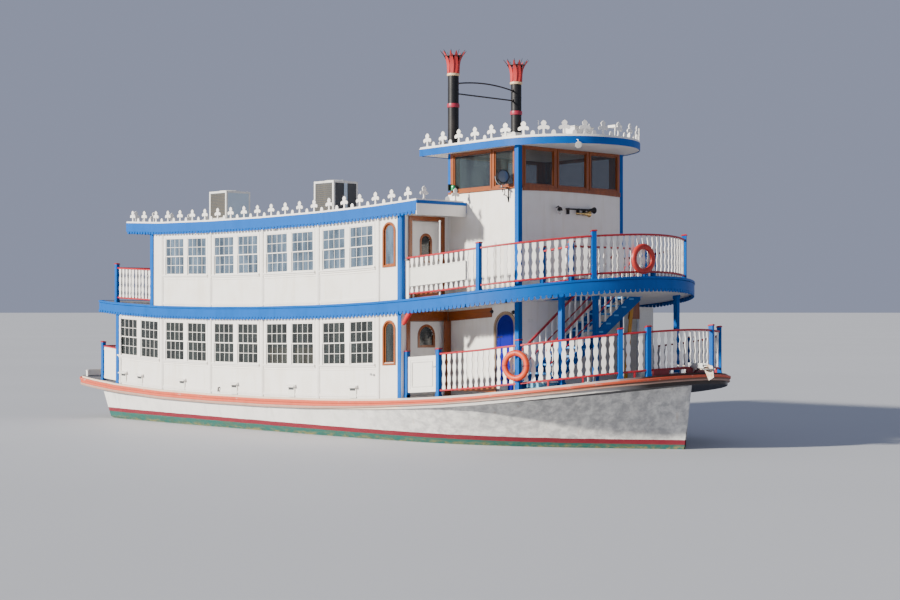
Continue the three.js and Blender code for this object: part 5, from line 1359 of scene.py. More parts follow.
def make_tower_fittings():
    """The lamp and horns on the tower's front, the lamps on its sides and a small plate."""
    fittings = Piece("tower_fittings", "iron black")
    lift = sheer(6.8) + UPPER_TOP
    x, y = TOWER_FRONT, -0.62
    fittings.tube([(x - 0.005, y, lift + 2.12), (x + 0.09, y, lift + 2.16), (x + 0.13, y, lift + 2.1)], 0.014)
    fittings.lathe([(0, 0.045), (0.05, 0.02), (0.075, -0.05), (0.066, -0.055)], (x + 0.13, y, lift + 2.1), 14)
    fittings.lathe([(0, -0.02), (0.045, -0.05), (0.05, -0.09), (0, -0.14)], (x + 0.13, y, lift + 2.08), 12,
                   paint="lamp glass")
    for start, long, up, paint in ((-0.34, 1.04, 2.1, "iron black"), (0.06, 0.46, 2, "brass")):
        fittings.lathe([(0.024, 0), (0.02, 0.1), (0.028, long - 0.22), (0.045, long - 0.1), (0.085, long),
                        (0.088, long + 0.006), (0, long - 0.06)],
                       (x + 0.09, start, lift + up), 16, (0.03, 1, 0), paint)
    for y in (-0.22, 0.16, 0.4):
        fittings.box(x - 0.004, x + 0.09, y - 0.015, y + 0.015, lift + 1.97, lift + 2.13)
    for x, z in ((6.3, 2.05), (5.55, 2.13)):
        fittings.lathe([(0.05, 0), (0.05, 0.014), (0.026, 0.03), (0.026, 0.06), (0, 0.075)],
                       (x, -TOWER_Y - 0.0003, sheer(x) + z), 12, (0, -1, 0))
    fittings.box(TOWER_FRONT - 0.003, TOWER_FRONT + 0.006, -1.66, -1.46, 3.04, 3.13, "board white")
    z = sheer(4.2) + 5.35
    for side, paint in ((-1, "green lamp"), (1, "red lamp")):
        wall, out = side * (TOWER_Y + 0.0005), side * (TOWER_Y + 0.16)
        fittings.box(4.1, 4.34, wall, out, z - 0.02, z)
        fittings.lathe([(0.06, 0), (0.06, 0.1), (0.05, 0.13), (0, 0.14)], (4.22, side * (TOWER_Y + 0.08), z),
                       16, paint=paint)
        fittings.box(4.1, 4.12, wall, out, z, z + 0.16)
    fittings.done("black_paint", bevel=0.002)


STACK = {"x": 3.46, "y": 1.2, "radius": 0.145, "band": 8.75, "collar": 9.55}
ROD_Z = 9.08
BRIDGE_Z = 9.35
# Height, reach outwards and half width of a petal, from its foot to its tip.
PETAL = [(0, 0.006, 0.04), (0.1, 0.008, 0.05), (0.22, 0.012, 0.056), (0.34, 0.034, 0.052),
         (0.44, 0.078, 0.04), (0.52, 0.13, 0.024), (0.575, 0.17, 0.006)]
PETAL_HALF_THICK = 0.009


def petal(made):
    t = PETAL_HALF_THICK
    made.loft([[(-half, -out - t, up + 0.05), (half, -out - t, up + 0.05), (half, -out + t, up + 0.05),
                (-half, -out + t, up + 0.05)] for up, out, half in PETAL])


def make_stacks():
    x, r, band, top = STACK["x"], STACK["radius"], STACK["band"], STACK["collar"]
    low = HOUSE_TOP + house_rise(x + 0.2) + 0.0003
    petals = bpy.context.scene.boat_sizes.crown_petals
    for hand, side in SIDES:
        y = side * STACK["y"]
        stack = Piece("stack_pipe_" + hand, "iron black")

        def pipe(base, profile, paint=None):
            stack.lathe([(r + out if out is not None else 0, base + up) for out, up in profile], (x, y, 0), 28,
                        paint=paint)

        pipe(low, [(0.055, 0), (0.055, 0.03), (None, 0.03)])
        pipe(low, [(0.04, 0.03), (0.04, 0.055), (0.02, 0.09), (0.007, 0.125), (None, 0.125)], "stack cream")
        stack.lathe([(r, low + 0.05), (r, top), (0, top)], (x, y, 0), 28, paint="stack black")
        pipe(band, [(0, -0.055), (0.016, -0.05), (0.021, -0.02), (0.021, 0.02), (0.016, 0.05), (0, 0.055)],
             "band red")
        for z in (low + 0.55, band + 0.42):
            stack.collar(x, y, r, r + 0.004, z - 0.012, z + 0.012, paint="stack black")
        pipe(top, [(0, -0.02), (0.022, -0.012), (0.027, 0.02), (0.022, 0.045), (-0.02, 0.06)], "stack cream")
        pipe(top, [(0.004, 0.045), (-0.004, 0.14), (0.004, 0.26), (0.03, 0.38), (0.016, 0.38), (-0.012, 0.26),
                   (-0.03, 0.06)], "crown red")
        stack.along([circle(x, y, top, r, 64, 1)], 2 * math.pi * r / petals, petal, paint="crown red")
        for k in range(petals):
            a = 2 * math.pi * (k + 0.5) / petals
            rod = []
            for share in (t / 8 for t in range(9)):
                reach = r + 0.02 + 0.187 * share**1.3
                rod.append((x + reach * math.cos(a), y + reach * math.sin(a), top + 0.36 + 0.295 * share))
            stack.tube(rod, [0.01 - 0.005 * t / 8 for t in range(9)], 6)
        stack.collar(x, y, r + 0.098, r + 0.106, top + 0.502, top + 0.514)
        if side < 0:
            # The bridge and the rod between the stacks belong to the starboard one.
            reach, chords = STACK["y"] - r, 14
            shares = [k / chords for k in range(chords + 1)]
            stack.tube([(x, -reach - 0.01 + (2 * reach + 0.009) * t, BRIDGE_Z + 0.09 * (1 - (2 * t - 1) ** 2))
                        for t in shares], 0.02, 10)
            stack.tube([(x, -reach - 0.01, ROD_Z), (x, reach - 0.001, ROD_Z)], 0.02, 10)
            for end in (-reach, reach - 0.026):
                for z in (ROD_Z, BRIDGE_Z):
                    stack.box(x - 0.036, x + 0.036, end, end + 0.025, z - 0.036, z + 0.036)
        stack.done("black_paint", "stack_" + hand)


# Cresting

# Half width and height of a finial, as shares of its height.
FINIAL = [(0.13, 0), (0.12, 0.05), (0.075, 0.09), (0.065, 0.36), (0.11, 0.4), (0.2, 0.375),
          (0.29, 0.335), (0.38, 0.36), (0.42, 0.44), (0.4, 0.53), (0.32, 0.6), (0.22, 0.62),
          (0.15, 0.645), (0.15, 0.7), (0.19, 0.76), (0.19, 0.84), (0.12, 0.93), (0, 1)]


def finial(made, tall):
    right = [(w * tall, t * tall) for w, t in FINIAL]
    made.prism(right + [(-w, t) for w, t in reversed(right[:-1])], "y", -0.012, 0.012)


def knob(made):
    made.prism([(-0.06, 0), (0.06, 0)] + arc(0, 0.035, 0.055, 0.075, 0, 180, 8), "y", -0.011, 0.011)


def cut_path(path, start, end):
    """The stretch of a path between two distances from its first place."""
    spots = [Vector(p) for p in path]
    found, run = [], 0
    for a, b in zip(spots, spots[1:]):
        long = (b - a).length
        found += [(at, a.lerp(b, (at - run) / long)) for at in (start, end) if run <= at < run + long]
        if start < run + long < end:
            found.append((run + long, b.copy()))
        run += long
    return [tuple(p) for _, p in sorted(found, key=lambda item: item[0])]


def cresting(piece, legs, foot, tall, pitch, closed=False):
    """A moulding along the legs, with finials spread evenly on each and a knob between each two."""
    path = []
    for leg in legs:
        path += [p for p in leg if not path or (Vector(p) - Vector(path[-1])).length > 1e-4]
    if closed:
        path.pop()
    piece.sweep(path, [(-0.024, foot + 0.0003), (0.024, foot + 0.0003), (0.024, foot + 0.026),
                       (0.014, foot + 0.045), (-0.014, foot + 0.045), (-0.024, foot + 0.026)], closed=closed)
    lines = [[(x, y, foot + 0.04) for x, y in leg] for leg in legs]
    piece.along(lines, pitch, finial, tall)
    for leg in lines:
        long = sum((Vector(b) - Vector(a)).length for a, b in zip(leg, leg[1:]))
        count = max(1, round(long / pitch))
        if count > 1:
            step = long / count
            piece.along([cut_path(leg, 0.5 * step, (count - 0.5) * step)], step, knob)


def make_crestings():
    sizes = bpy.context.scene.boat_sizes
    x0, x1, y, inner = ROOF["aft"] + 0.03, ROOF["front"] - 0.03, 3.59, TOWER_Y + 0.09
    corners = [(x1, -inner), (x1, -y), (x0, -y), (x0, y), (x1, y), (x1, inner)]
    cabin = Piece("cabin_roof_cresting", "trim white")
    cresting(cabin, list(zip(corners, corners[1:])), ROOF_TOP, 0.33, sizes.cabin_finial_pitch)
    cabin.done("white_paint", "cabin_cresting", lift=sheer)
    w, back = HOUSE_ROOF["half"] - 0.03, 3.24
    nose = arc(HOUSE_ROOF["nose"], 0, HOUSE_ROOF["reach"] - 0.03, w, -90, 90, 32)
    legs = [[(back, -w), nose[0]], nose, [nose[-1], (back, w)], [(back, w), (back, -w)]]
    house = Piece("wheelhouse_roof_cresting", "trim white")
    cresting(house, legs, HOUSE_TOP, 0.35, sizes.house_finial_pitch, True)
    house.done("white_paint", "wheelhouse_cresting", lift=house_rise)


# Fittings on the roofs and decks

COOLERS = (("cooler_aft", -7.03, 1.08, 0.2), ("cooler_forward", -1.93, 1.17, 0.1))
COOLER = {"y": -0.7, "long": 0.88, "wide": 0.92, "post": 0.06, "louvres": 16}


def make_coolers():
    """Two air-conditioning units: louvred casings with a round fan guard on top."""
    long, wide, c, count, y = (COOLER[key] for key in ("long", "wide", "post", "louvres", "y"))
    for name, x, tall, leg in COOLERS:
        base = sheer(x) + ROOF_TOP
        unit = Piece(name + "_casing", "casing grey")
        x0, x1, y0, y1, z0, z1 = x - long / 2, x + long / 2, y - wide / 2, y + wide / 2, base + leg, base + tall
        low, high = z0 + 0.06, z1 - 0.06
        unit.box(x0 + 0.012, x1 - 0.012, y0 + 0.012, y1 - 0.012, z0 + 0.05, z1 - 0.05, "louvre dark")
        unit.box(x0, x1, y0, y1, z0, low)
        unit.box(x0, x1, y0, y1, high, z1)
        for ax in (x0, x1 - c):
            for ay in (y0, y1 - c):
                unit.box(ax, ax + c, ay, ay + c, low, high)
        panel = wide / 2 - c if name == "cooler_aft" else 0.06
        unit.box(x1 - 0.014, x1 - 0.001, y - panel, y + panel, low, high, "casing blue")
        step = (0, 0, (z1 - z0 - 0.14) / count)
        for ay in (y0 + 0.008, y1 - 0.008):
            unit.rows([(x, ay, z0 + 0.075)], (long - 2 * c, 0.008, 0.018), step, count, paint="louvre tan")
        unit.rows([(x0 + 0.008, y, z0 + 0.075)], (0.008, wide - 2 * c, 0.014), step, count)
        unit.lathe([(0.33, z1 - 0.002), (0.33, z1 + 0.022), (0.315, z1 + 0.03), (0.295, z1 + 0.022),
                    (0.295, z1 - 0.002)], (x, y, 0), 32)
        unit.lathe([(0.295, z1 + 0.001), (0.295, z1 + 0.003), (0, z1 + 0.003)], (x, y, 0), 32, paint="louvre dark")
        for r in (0.07, 0.115, 0.16, 0.205, 0.25, 0.285):
            unit.tube(circle(x, y, z1 + 0.03, r, 24), 0.0035, 4, "galvanised", closed=True)
        for a in (0, 45, 90, 135):
            dx, dy = polar(0, 0.32, a)
            unit.tube([(x - dx, y - dy, z1 + 0.036), (x + dx, y + dy, z1 + 0.036)], 0.005, 5, "galvanised")
        unit.lathe([(0.07, z1 + 0.03), (0.07, z1 + 0.044), (0, z1 + 0.049)], (x, y, 0), 20)
        for px in (x0 + 0.09, x1 - 0.09):
            ground = max(sheer(px - 0.05), sheer(px + 0.05)) + ROOF_TOP + 0.0003
            unit.box(px - 0.05, px + 0.05, y0, y1, ground, z0 + 0.005, "galvanised")
        ay = y0 + 0.15
        unit.tube([(x0 + 0.01, ay, z0 + 0.12), (x0 - 0.06, ay, z0 + 0.11), (x0 - 0.09, ay, z0 + 0.05),
                   (x0 - 0.09, ay, sheer(x0 - 0.09) + ROOF_TOP - 0.01)], 0.018, paint="louvre dark")
        unit.done("unit_casing", name, bevel=0.004)


def make_roof_gear():
    """Boxes, a dome and two whips on the wheelhouse roof, and the lamps at its edge."""
    gear = Piece("roof_gear", "trim white")
    top = HOUSE_TOP
    for x0, x1, y0, y1, tall in ((5.35, 5.8, -1.3, -0.95, 0.24), (6.95, 7.35, -0.75, -0.05, 0.3)):
        gear.box(x0, x1, y0, y1, top, top + tall)
        gear.box(x0 - 0.02, x1 + 0.02, y0 - 0.02, y1 + 0.02, top + tall, top + tall + 0.025, "casing grey")
    gear.lathe([(0.05, 0), (0.05, 0.02), (0.018, 0.03), (0.018, 0.16), (0, 0.16)], (4.6, 0, top), 16,
               paint="casing grey")
    gear.lathe([(0, 0.16), (0.1, 0.17), (0.115, 0.2), (0.06, 0.24), (0, 0.245)], (4.6, 0, top), 20)
    gear.tube([(6.2, 1.1, top), (6.2, 1.1, top + 0.62)], [0.016, 0.01])
    gear.tube([(4.2, 1.3, top), (4.2, 1.3, top + 0.95)], [0.012, 0.004], 6)
    gear.rise(house_rise)
    turn = math.radians(33)
    x = HOUSE_ROOF["nose"] + HOUSE_ROOF["reach"] * math.cos(turn)
    y = -HOUSE_ROOF["half"] * math.sin(turn)
    z = 7.4 + house_rise(x)
    gear.tube([(x - 0.03, y, z + 0.08), (x + 0.055, y - 0.03, z + 0.05), (x + 0.06, y - 0.03, z - 0.02)], 0.012,
              paint="casing grey")
    lamp, way = (x + 0.06, y - 0.04, z - 0.05), (0.65, -0.5, -0.35)
    gear.lathe([(0, -0.03), (0.055, -0.02), (0.085, 0.045), (0.088, 0.06), (0, 0.055)], lamp, 18, way,
               "casing grey")
    gear.lathe([(0.078, 0.058), (0.078, 0.062), (0, 0.066)], lamp, 18, way, "lamp glass")
    x = HOUSE_ROOF["nose"] + HOUSE_ROOF["reach"] * math.cos(math.radians(14)) - 0.3
    z = top + house_rise(x + 0.3) + 0.05
    gear.tube([(x, 0.25, z - 0.06), (x, 0.25, z + 0.26)], 0.014, paint="casing grey")
    gear.box(x - 0.12, x + 0.12, 0.12, 0.38, z + 0.24, z + 0.3)
    gear.done("white_paint", bevel=0.004)


def make_searchlight():
    x, y, z, r, deep = 6.13, -2.11, 6.675, 0.17, 0.21
    way = Vector((math.cos(-0.35), math.sin(-0.35), 0))
    across = Vector((-way.y, way.x, 0))
    lamp = Piece("searchlight_drum", "iron black")
    lamp.lathe([(r * w, deep * t) for w, t in (
        (0, -0.62), (0.45, -0.58), (0.78, -0.42), (0.93, -0.1), (0.95, 0.36), (1, 0.38), (1, 0.5), (0.9, 0.5),
        (0.88, 0.4))], (x, y, z), 28, way)
    lamp.lathe([(r * 0.9, deep * 0.42), (r * 0.6, deep * 0.465), (0, deep * 0.485)], (x, y, z), 28, way,
               "dark lens")
    for t in (-0.02, 0.02, 0.06):
        lamp.lathe([(r * 0.955, t - 0.006), (r * 0.985, t - 0.006), (r * 0.985, t + 0.006), (r * 0.955, t + 0.006)],
                   (x, y, z), 28, way)
    fork = [Vector((x, y, z)) + across * (r + 0.012) * c + Vector((0, 0, (r + 0.05) * s))
            for c, s in (polar(0, 1, t) for t in range(-180, 1, 20))]
    lamp.tube(fork, 0.011, paint="galvanised")
    lamp.tube([(x, y, z - r - 0.05), (x, y, z - r - 0.1)], 0.018, 10, "galvanised")
    wall = -TOWER_Y - 0.0003
    lamp.box(x - 0.04, x + 0.04, y - 0.06, wall, z - r - 0.11, z - r - 0.088)
    low = z - r
    brace = [(x, wall - out, low - down) for out, down in ((0.012, 0.43), (0.03, 0.36), (0.07, 0.3), (0.14, 0.285))]
    for t in (k / 24 for k in range(25)):
        a, reach = math.radians(-90 + 300 * t), 0.085 - 0.055 * t
        brace.append((x, y + 0.06 + reach * math.cos(a) * 0.8, low - 0.2 + reach * math.sin(a)))
    lamp.tube(brace, 0.012)
    lamp.box(x - 0.02, x + 0.02, wall - 0.012, wall, low - 0.46, low - 0.09)
    lamp.done("black_paint", "searchlight", bevel=0.002)


RING_BIG, RING_THICK, RING_FLAT = 0.3, 0.07, 0.86


def life_ring(node_name, cx, radius, angle, reach, height, paint):
    """A ring hung outside a round rail; reach is half the depth of what it hangs against."""
    a = math.radians(angle)
    axis = Vector((math.cos(a), math.sin(a), 0))
    side, up = Vector((-axis.y, axis.x, 0)), Vector((0, 0, 1))
    centre = Vector((*polar(cx, radius + reach + 0.072 + 0.0003, angle), 0))
    centre.z = sheer(centre.x) + height
    ring = Piece(node_name.removeprefix("life_"), paint)

    def loop(turn, grow):
        c = side * math.cos(turn) + up * math.sin(turn)
        turns = [2 * math.pi * k / 14 for k in range(14)]
        return [tuple(centre + c * (RING_BIG + (RING_THICK + grow) * math.cos(t))
                      + axis * (RING_THICK * RING_FLAT + grow) * math.sin(t)) for t in turns]

    ring.loft([loop(2 * math.pi * k / 48, 0) for k in range(48)], closed=True)
    for middle in (k * math.pi / 2 for k in range(4)):
        ring.loft([loop(middle + t * 0.05, 0.002) for t in (-1, -0.33, 0.33, 1)], "ring band")
    hook = centre + up * (RING_BIG + RING_THICK * 0.5) - axis * (RING_THICK * RING_FLAT + 0.004)
    ring.tube([hook + up * 0.1, hook - up * 0.03], 0.007, 6, "galvanised")
    ring.done("ring_skin", node_name)


def make_rings():
    a = math.radians(77)
    life_ring("life_ring_main", MAIN_EDGE["bow"], MAIN_RAIL, -77, POST_HALF * (math.cos(a) + math.sin(a)), 0.63,
              "ring orange")
    life_ring("life_ring_upper", UPPER_EDGE["bow"], UPPER_RAIL, -9, RAIL["wide"] / 2, 2.98, "ring red")


def make_anchor():
    x0, x1, z = 9.95, 10.96, sheer(10.69) + 0.19
    gear = Piece("anchor_and_roller", "anchor grey")
    gear.tube([(x0, 0, z), (x0 + 0.5, 0, z + 0.004), (x1 - 0.04, 0, z)], [0.022, 0.024, 0.03], 10)
    gear.lathe([(0.028, -0.035), (0.034, -0.03), (0.034, 0.03), (0.028, 0.035)], (x0 + 0.03, 0, z), 14, (0, 1, 0))
    gear.tube([(x1 - 0.05, -0.2, z - 0.02), (x1 - 0.05, 0.2, z - 0.02)], 0.022, 10)
    gear.prism([(x1 - 0.06, z + 0.06), (x1 - 0.16, z - 0.06), (x1 - 0.02, z - 0.33), (x1 + 0.13, z - 0.25),
                (x1 + 0.09, z + 0.02)], "y", -0.014, 0.014)
    for side in (-1, 1):
        blade = [(x1 - 0.12, side * 0.045, z - 0.09), (x1 - 0.05, side * 0.2, z - 0.075),
                 (x1 + 0.04, side * 0.15, z - 0.065), (x1 + 0.15, side * 0.02, z - 0.06)]
        gear.loft([blade, [(px, py, pz + 0.022) for px, py, pz in blade]])
        cheek = [(px, sheer(px) + DECK_TOP + 0.0003) for px in (10.2, 10.44)]
        cheek += [(10.66, z - 0.04), (10.8, z - 0.04), (10.8, z + 0.08), (10.3, z + 0.08)]
        gear.prism(cheek, "y", side * 0.06 - 0.008, side * 0.06 + 0.008, "galvanised")
    for x, up in ((10.33, 0.005), (10.74, -0.045)):
        gear.lathe([(0.016, -0.066), (0.016, -0.052), (0.04, -0.05), (0.026, -0.02), (0.026, 0.02),
                    (0.04, 0.05), (0.016, 0.052), (0.016, 0.066)], (x, 0, z + up), 14, (0, 1, 0))
    gear.done("galvanised_steel", "anchor", bevel=0.003)


def deck_at(x):
    return sheer(x) + DECK_TOP + 0.0004


def make_deck_gear():
    """Bollards, boxes, boards and a fender on the foredeck and by the cabin, a locker and a pole."""
    x0, x1, y0, y1, z = 6.98, 7.48, 1.57, 2.17, deck_at(7.7)
    locker = Piece("foredeck_locker", "board white")
    locker.box(x0, x1, y0, y1, z, z + 1.99, "trim white")
    for low, high in ((0.06, 0.92), (0.96, 1.93)):
        locker.box(x0 + 0.03, x1 - 0.03, y0 - 0.012, y0 + 0.001, z + low, z + high)
    locker.box(x1 - 0.001, x1 + 0.014, y0 + 0.04, y1 - 0.04, z + 0.06, z + 1.93)
    locker.box(x1 + 0.013, x1 + 0.034, y0 + 0.07, y0 + 0.1, z + 0.95, z + 1.12, "galvanised")
    locker.done("white_paint", "bow_locker", bevel=0.006)

    gear = Piece("foredeck_gear", "galvanised")
    for side in (-1, 1):
        for x, y in ((8.95, side * 1.95), (4.75, side * 2.9), (-9.55, side * 2.7)):
            z = deck_at(x + 0.16)
            gear.block(x, y, 0.17, 0.07, z, z + 0.022)
            for dx in (-0.09, 0.09):
                gear.lathe([(0.036, 0), (0.036, 0.14), (0.052, 0.16), (0.052, 0.178), (0, 0.184)],
                           (x + dx, y, z + 0.02), 14)
    for x0, x1, y0, y1, at, up, tall, paint in (
            (5.15, 6.95, -3.16, -3.13, 6.95, 0, 0.13, "varnished wood"),
            (6.72, 6.97, -3.02, -2.76, 6.97, 0, 0.16, "trim white"),
            (7.45, 8.05, -2.6, -2, 8.05, 0, 0.12, "pale blue"),
            (7.43, 8.07, -2.62, -1.98, 8.05, 0.12, 0.025, "trim white"),
            (4.1, 5, -3.2, -3.17, 5, UPPER_TOP - DECK_TOP, 0.12, "varnished wood")):
        z = deck_at(at) + up
        gear.box(x0, x1, y0, y1, z, z + tall, paint)
    x, z = 7.62, deck_at(7.7)
    gear.prism([(0.98, 3.12), (1.43, 3.12), (1.42, 3.62), (1.1, 3.62)], "x", x - 0.012, x + 0.012, "varnished wood")
    gear.prism([(0.76, z), (0.88, z), (1.18, 3.64), (1.06, 3.64)], "x", x + 0.013, x + 0.045, "yellow board")
    gear.prism([(1.37, z), (1.43, z), (1.43, 3.64), (1.37, 3.64)], "x", x - 0.045, x - 0.013)
    y = -3.52
    gear.tube([(4.42, y, 3.45), (4.38, y, 3.4), (4.08, y, 3.04)], [0.05, 0.078, 0.06], 16, "red tube")
    gear.tube([(4.1, y, 3.065), (4.04, y, 2.99)], [0.068, 0.046], 16, "red tube")
    gear.tube([(4.36, y, 3.42), (4.36, y, 3.56)], 0.01, 6)
    gear.done("white_paint", bevel=0.003)

    pole = Piece("flag_pole", "trim white")
    x, y, z = 5.15, -3.3, sheer(5.15) + UPPER_TOP + 0.001
    pole.tube([(x, y, z), (x, y, z + 1.849)], [0.022, 0.018], 12)
    pole.lathe([(0, -0.03), (0.028, -0.012), (0.028, 0.012), (0, 0.03)], (x, y, z + 1.869), 12)
    pole.lathe([(0.05, 0), (0.05, 0.012), (0.028, 0.02), (0.028, 0.06)], (x, y, z), 12, paint="galvanised")
    pole.done("white_paint")


def make_stern_gear():
    """The low coaming round the stern deck."""
    path = [(x, y) for x, y in edge_path(MAIN_EDGE, -0.14) if x < -9.6]
    cut = next(i for i in range(len(path) - 1) if path[i][1] * path[i + 1][1] < 0)
    gear = Piece("stern_coaming", "trim white")
    gear.sweep(path[cut + 1:] + path[:cut + 1], [
        (out, DECK_TOP + up) for out, up in ((-0.02, 0.0004), (0.02, 0.0004), (0.02, 0.16), (0.03, 0.165),
                                             (0.03, 0.185), (-0.03, 0.185), (-0.03, 0.165), (-0.02, 0.16))])
    gear.done("white_paint", lift=sheer)


def make_rooms():
    """What shows through the glass: floors, benches and tables, and a few blinds."""
    room = Piece("cabin_furniture", "iron black")
    table_pitch, tables = 1.62, 6
    for plan in LEVELS.values():
        foot = plan["foot"] + 0.0005
        room.box(plan["aft"] + 0.08, 3.87, -3.4, 3.4, foot, foot + 0.012, "room floor")
        for y in (-2.55, 2.55):
            for bar, dx, z, paint in (
                    ((0.62, 1.15, 0.03), 0, 0.72, "room floor"), ((0.06, 0.06, 0.7), 0, 0.355, None),
                    ((0.4, 0.95, 0.07), -0.58, 0.44, "seat"), ((0.05, 0.6, 0.42), -0.58, 0.215, None),
                    ((0.4, 0.95, 0.07), 0.58, 0.44, "seat"), ((0.05, 0.6, 0.42), 0.58, 0.215, None)):
                room.rows([(plan["aft"] + 1.3, y, foot + 0.013)], bar, (table_pitch, 0, 0), tables,
                          (dx, 0, z), paint)
    low, high = LEVELS["lower"]["sill"] + 0.03, LEVELS["lower"]["sill"] + 0.46
    for x in bay_windows("lower")[6:8]:
        room.box(x - 0.38, x + 0.38, -WALL_Y + 0.055, -WALL_Y + 0.058, low, high, "blind")
        for px in (x - 0.36 + 0.09 * k for k in range(9)):
            room.tube([(px, -WALL_Y + 0.056, low), (px, -WALL_Y + 0.056, high)], 0.014, 6, "blind")
    room.done("wood_trim", lift=sheer)


# Stage and camera

SUN_WAY = (-0.31, -0.85, 0.315)
SUN_SPREAD = 3.0
FLOOR_REACH = 6000.0
CAMERA_PLACE = (35.69, -32.45, 3.3)
CAMERA_WAY = (-0.7193, 0.6947, math.tan(math.radians(0.404)))


def make_stage():
    scene = bpy.context.scene
    light, far = scene.boat_light, FLOOR_REACH
    mesh = bpy.data.meshes.new("floor")
    mesh.from_pydata([(-far, -far, 0), (far, -far, 0), (far, far, 0), (-far, far, 0)], [], [(0, 1, 2, 3)])
    mesh.materials.append(finish("studio floor"))
    new_object("floor", mesh)

    scene.world = bpy.data.worlds.new("studio")
    scene.world.use_nodes = True
    back = scene.world.node_tree.nodes["Background"].inputs
    back["Color"].default_value = (0.66, 0.73, 1.0, 1)
    back["Strength"].default_value = light.fill

    sun = bpy.data.lights.new("key", "SUN")
    sun.angle, sun.energy, sun.color = math.radians(SUN_SPREAD), light.key, (1.0, 0.94, 0.84)
    new_object("key", sun).rotation_euler = Vector(SUN_WAY).to_track_quat("Z", "Y").to_euler()

    lens = bpy.data.cameras.new("camera")
    lens.sensor_width, lens.lens, lens.clip_end = 36.0, 68.0, 20000.0
    scene.camera = new_object("camera", lens)
    scene.camera.location = CAMERA_PLACE
    scene.camera.rotation_euler = Vector(CAMERA_WAY).to_track_quat("-Z", "Y").to_euler()


# Add-on

def colour_of(label, what, value):
    return bpy.props.FloatVectorProperty(name=label, description=what, subtype="COLOR", size=3, min=0.0, max=1.0,
                                         default=value)


def length_of(label, what, value, low, high):
    return bpy.props.FloatProperty(name=label, description=what, default=value, min=low, max=high,
                                   subtype="DISTANCE", unit="LENGTH")


class BoatColours(bpy.types.PropertyGroup):
    white: colour_of("White", "Walls, sashes, balusters and cresting", (0.88, 0.86, 0.82))
    blue: colour_of("Blue", "Fascias, posts and columns", (0.0005, 0.1, 0.41))
    red: colour_of("Rail red", "Rails and post caps", (0.4, 0.011, 0.021))
    dark_red: colour_of("Toe board red", "Board at the foot of the bow rail", (0.17, 0.006, 0.014))
    salmon: colour_of("Guard salmon", "Guard timbers round the hull", (0.62, 0.09, 0.036))
    deck: colour_of("Deck", "Non-slip paint on the decks", (0.22, 0.22, 0.23))
    wood: colour_of("Wood", "Varnished frames of the wheelhouse and doors", (0.36, 0.082, 0.006))
    door_blue: colour_of("Door blue", "Doors in the tower's sides", (0.006, 0.008, 0.26))
    hull_white: colour_of("Hull white", "Topsides", (0.82, 0.81, 0.78))
    hull_red: colour_of("Hull line", "Line over the boot-top", (0.18, 0.006, 0.02))
    boot_top: colour_of("Boot-top", "Band at the waterline", (0.008, 0.108, 0.092))


class BoatSizes(bpy.types.PropertyGroup):
    main_baluster_pitch: length_of(
        "Main deck baluster pitch", "From one baluster to the next on the main deck", 0.178, 0.08, 0.4)
    upper_baluster_pitch: length_of(
        "Upper deck baluster pitch", "From one baluster to the next on the upper deck", 0.165, 0.08, 0.4)
    lace_pitch: length_of("Scallop pitch", "Width of one scallop under the fascias", 0.14, 0.05, 0.3)
    cabin_finial_pitch: length_of(
        "Cabin finial pitch", "From one finial to the next on the cabin roof", 0.6, 0.4, 1.5)
    house_finial_pitch: length_of(
        "Wheelhouse finial pitch", "From one finial to the next on the wheelhouse roof", 0.49, 0.3, 1.5)
    crown_petals: bpy.props.IntProperty(
        name="Crown petals", description="Petals in the crown of each stack", default=10, min=6, max=16)


class BoatLight(bpy.types.PropertyGroup):
    key: bpy.props.FloatProperty(
        name="Key light", description="Strength of the key light", default=9.5, min=0.0, max=100.0)
    fill: bpy.props.FloatProperty(
        name="Fill", description="Strength of the light from all round", default=0.42, min=0.0, max=5.0)


class BoatStep(bpy.types.Operator):
    """One step in building the boat's visible pieces"""
    bl_options = {"REGISTER", "UNDO"}
    makers = ()

    def execute(self, context):
        for maker in self.makers:
            maker()
        return {"FINISHED"}


class BOAT_OT_nodes(BoatStep):
    """Gives each solid that stays in view its paint"""
    bl_idname = "boat.nodes"
    bl_label = "Paint the solids"
    makers = (dress_nodes,)


class BOAT_OT_hull(BoatStep):
    """Builds the faired hull with its keel, shaft tubes and struts"""
    bl_idname = "boat.hull"
    bl_label = "Hull"
    makers = (make_hull,)


class BOAT_OT_guard(BoatStep):
    """Builds the guard timbers round the main deck"""
    bl_idname = "boat.guard"
    bl_label = "Guard"
    makers = (make_guard,)


class BOAT_OT_fascias(BoatStep):
    """Builds the fascias with their mouldings and scallops"""
    bl_idname = "boat.fascias"
    bl_label = "Fascias"
    makers = (make_fascias,)


class BOAT_OT_windows(BoatStep):
    """Builds the sashes, glass, ledges, mouldings, vents and lamps of the cabin walls"""
    bl_idname = "boat.windows"
    bl_label = "Windows and walls"
    makers = (make_windows,)


class BOAT_OT_rooms(BoatStep):
    """Builds the floors, tables, benches and blinds that show through the glass"""
    bl_idname = "boat.rooms"
    bl_label = "Rooms"
    makers = (make_rooms,)


class BOAT_OT_rails(BoatStep):
    """Builds the railings with their sawn balusters, posts and name boards"""
    bl_idname = "boat.rails"
    bl_label = "Railings"
    makers = (make_main_rail, make_upper_rail, make_stern_rails)


class BOAT_OT_columns(BoatStep):
    """Builds the columns between the decks and at the tower's corners"""
    bl_idname = "boat.columns"
    bl_label = "Columns"
    makers = (make_columns,)


class BOAT_OT_doors(BoatStep):
    """Builds the gates, and the casings, glass and handles of the doors"""
    bl_idname = "boat.doors"
    bl_label = "Gates and doors"
    makers = (make_gates, make_doors, make_door_casings)


class BOAT_OT_stair(BoatStep):
    """Builds the bow stair with its treads, handrails and balusters"""
    bl_idname = "boat.stair"
    bl_label = "Stair"
    makers = (make_stair,)


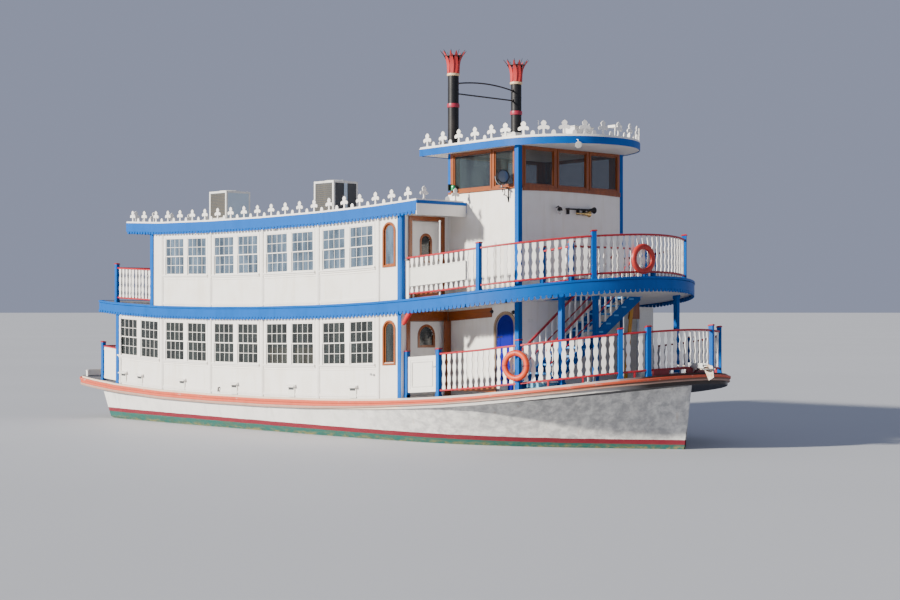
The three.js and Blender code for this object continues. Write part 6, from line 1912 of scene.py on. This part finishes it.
class BOAT_OT_wheelhouse(BoatStep):
    """Builds the wheelhouse sashes, glass, roof edge and the lamps and horns of the tower"""
    bl_idname = "boat.wheelhouse"
    bl_label = "Wheelhouse"
    makers = (make_wheelhouse, make_house_roof, make_tower_fittings)


class BOAT_OT_stacks(BoatStep):
    """Builds the two stacks with their crowns and tie rods"""
    bl_idname = "boat.stacks"
    bl_label = "Stacks"
    makers = (make_stacks,)


class BOAT_OT_crestings(BoatStep):
    """Builds the finials and mouldings along the roof edges"""
    bl_idname = "boat.crestings"
    bl_label = "Crestings"
    makers = (make_crestings,)


class BOAT_OT_roof_gear(BoatStep):
    """Builds the air-conditioning units, boxes, lamps and searchlight on the roofs"""
    bl_idname = "boat.roof_gear"
    bl_label = "Roof fittings"
    makers = (make_coolers, make_roof_gear, make_searchlight)


class BOAT_OT_deck_gear(BoatStep):
    """Builds the life rings, anchor, lockers, bollards and boards on the decks"""
    bl_idname = "boat.deck_gear"
    bl_label = "Deck fittings"
    makers = (make_rings, make_anchor, make_deck_gear, make_stern_gear)


class BOAT_OT_stage(BoatStep):
    """Sets up the floor, the soft light and the camera"""
    bl_idname = "boat.stage"
    bl_label = "Stage"
    makers = (make_stage,)


# The operators run in the order in which they are written above.
STEPS = tuple(BoatStep.__subclasses__())
GROUPS = {"boat_colours": BoatColours, "boat_sizes": BoatSizes, "boat_light": BoatLight}


class BOAT_PT_steps(bpy.types.Panel):
    """Lists the boat's colours, sizes and steps"""
    bl_label = "River excursion boat"
    bl_space_type = "VIEW_3D"
    bl_region_type = "UI"
    bl_category = "Boat"

    def draw(self, context):
        layout = self.layout
        for group in (getattr(context.scene, name) for name in GROUPS):
            box = layout.box()
            for key in group.bl_rna.properties.keys():
                if key not in ("rna_type", "name"):
                    box.prop(group, key)
        for step in STEPS:
            layout.operator(step.bl_idname)


CLASSES = (*GROUPS.values(), *STEPS, BOAT_PT_steps)


def register():
    for cls in CLASSES:
        bpy.utils.register_class(cls)
    for name, group in GROUPS.items():
        setattr(bpy.types.Scene, name, bpy.props.PointerProperty(type=group))


def unregister():
    for name in GROUPS:
        delattr(bpy.types.Scene, name)
    for cls in reversed(CLASSES):
        bpy.utils.unregister_class(cls)


def main():
    register()
    for step in STEPS:
        group, name = step.bl_idname.split(".")
        getattr(getattr(bpy.ops, group), name)()


if __name__ == "__main__":
    main()
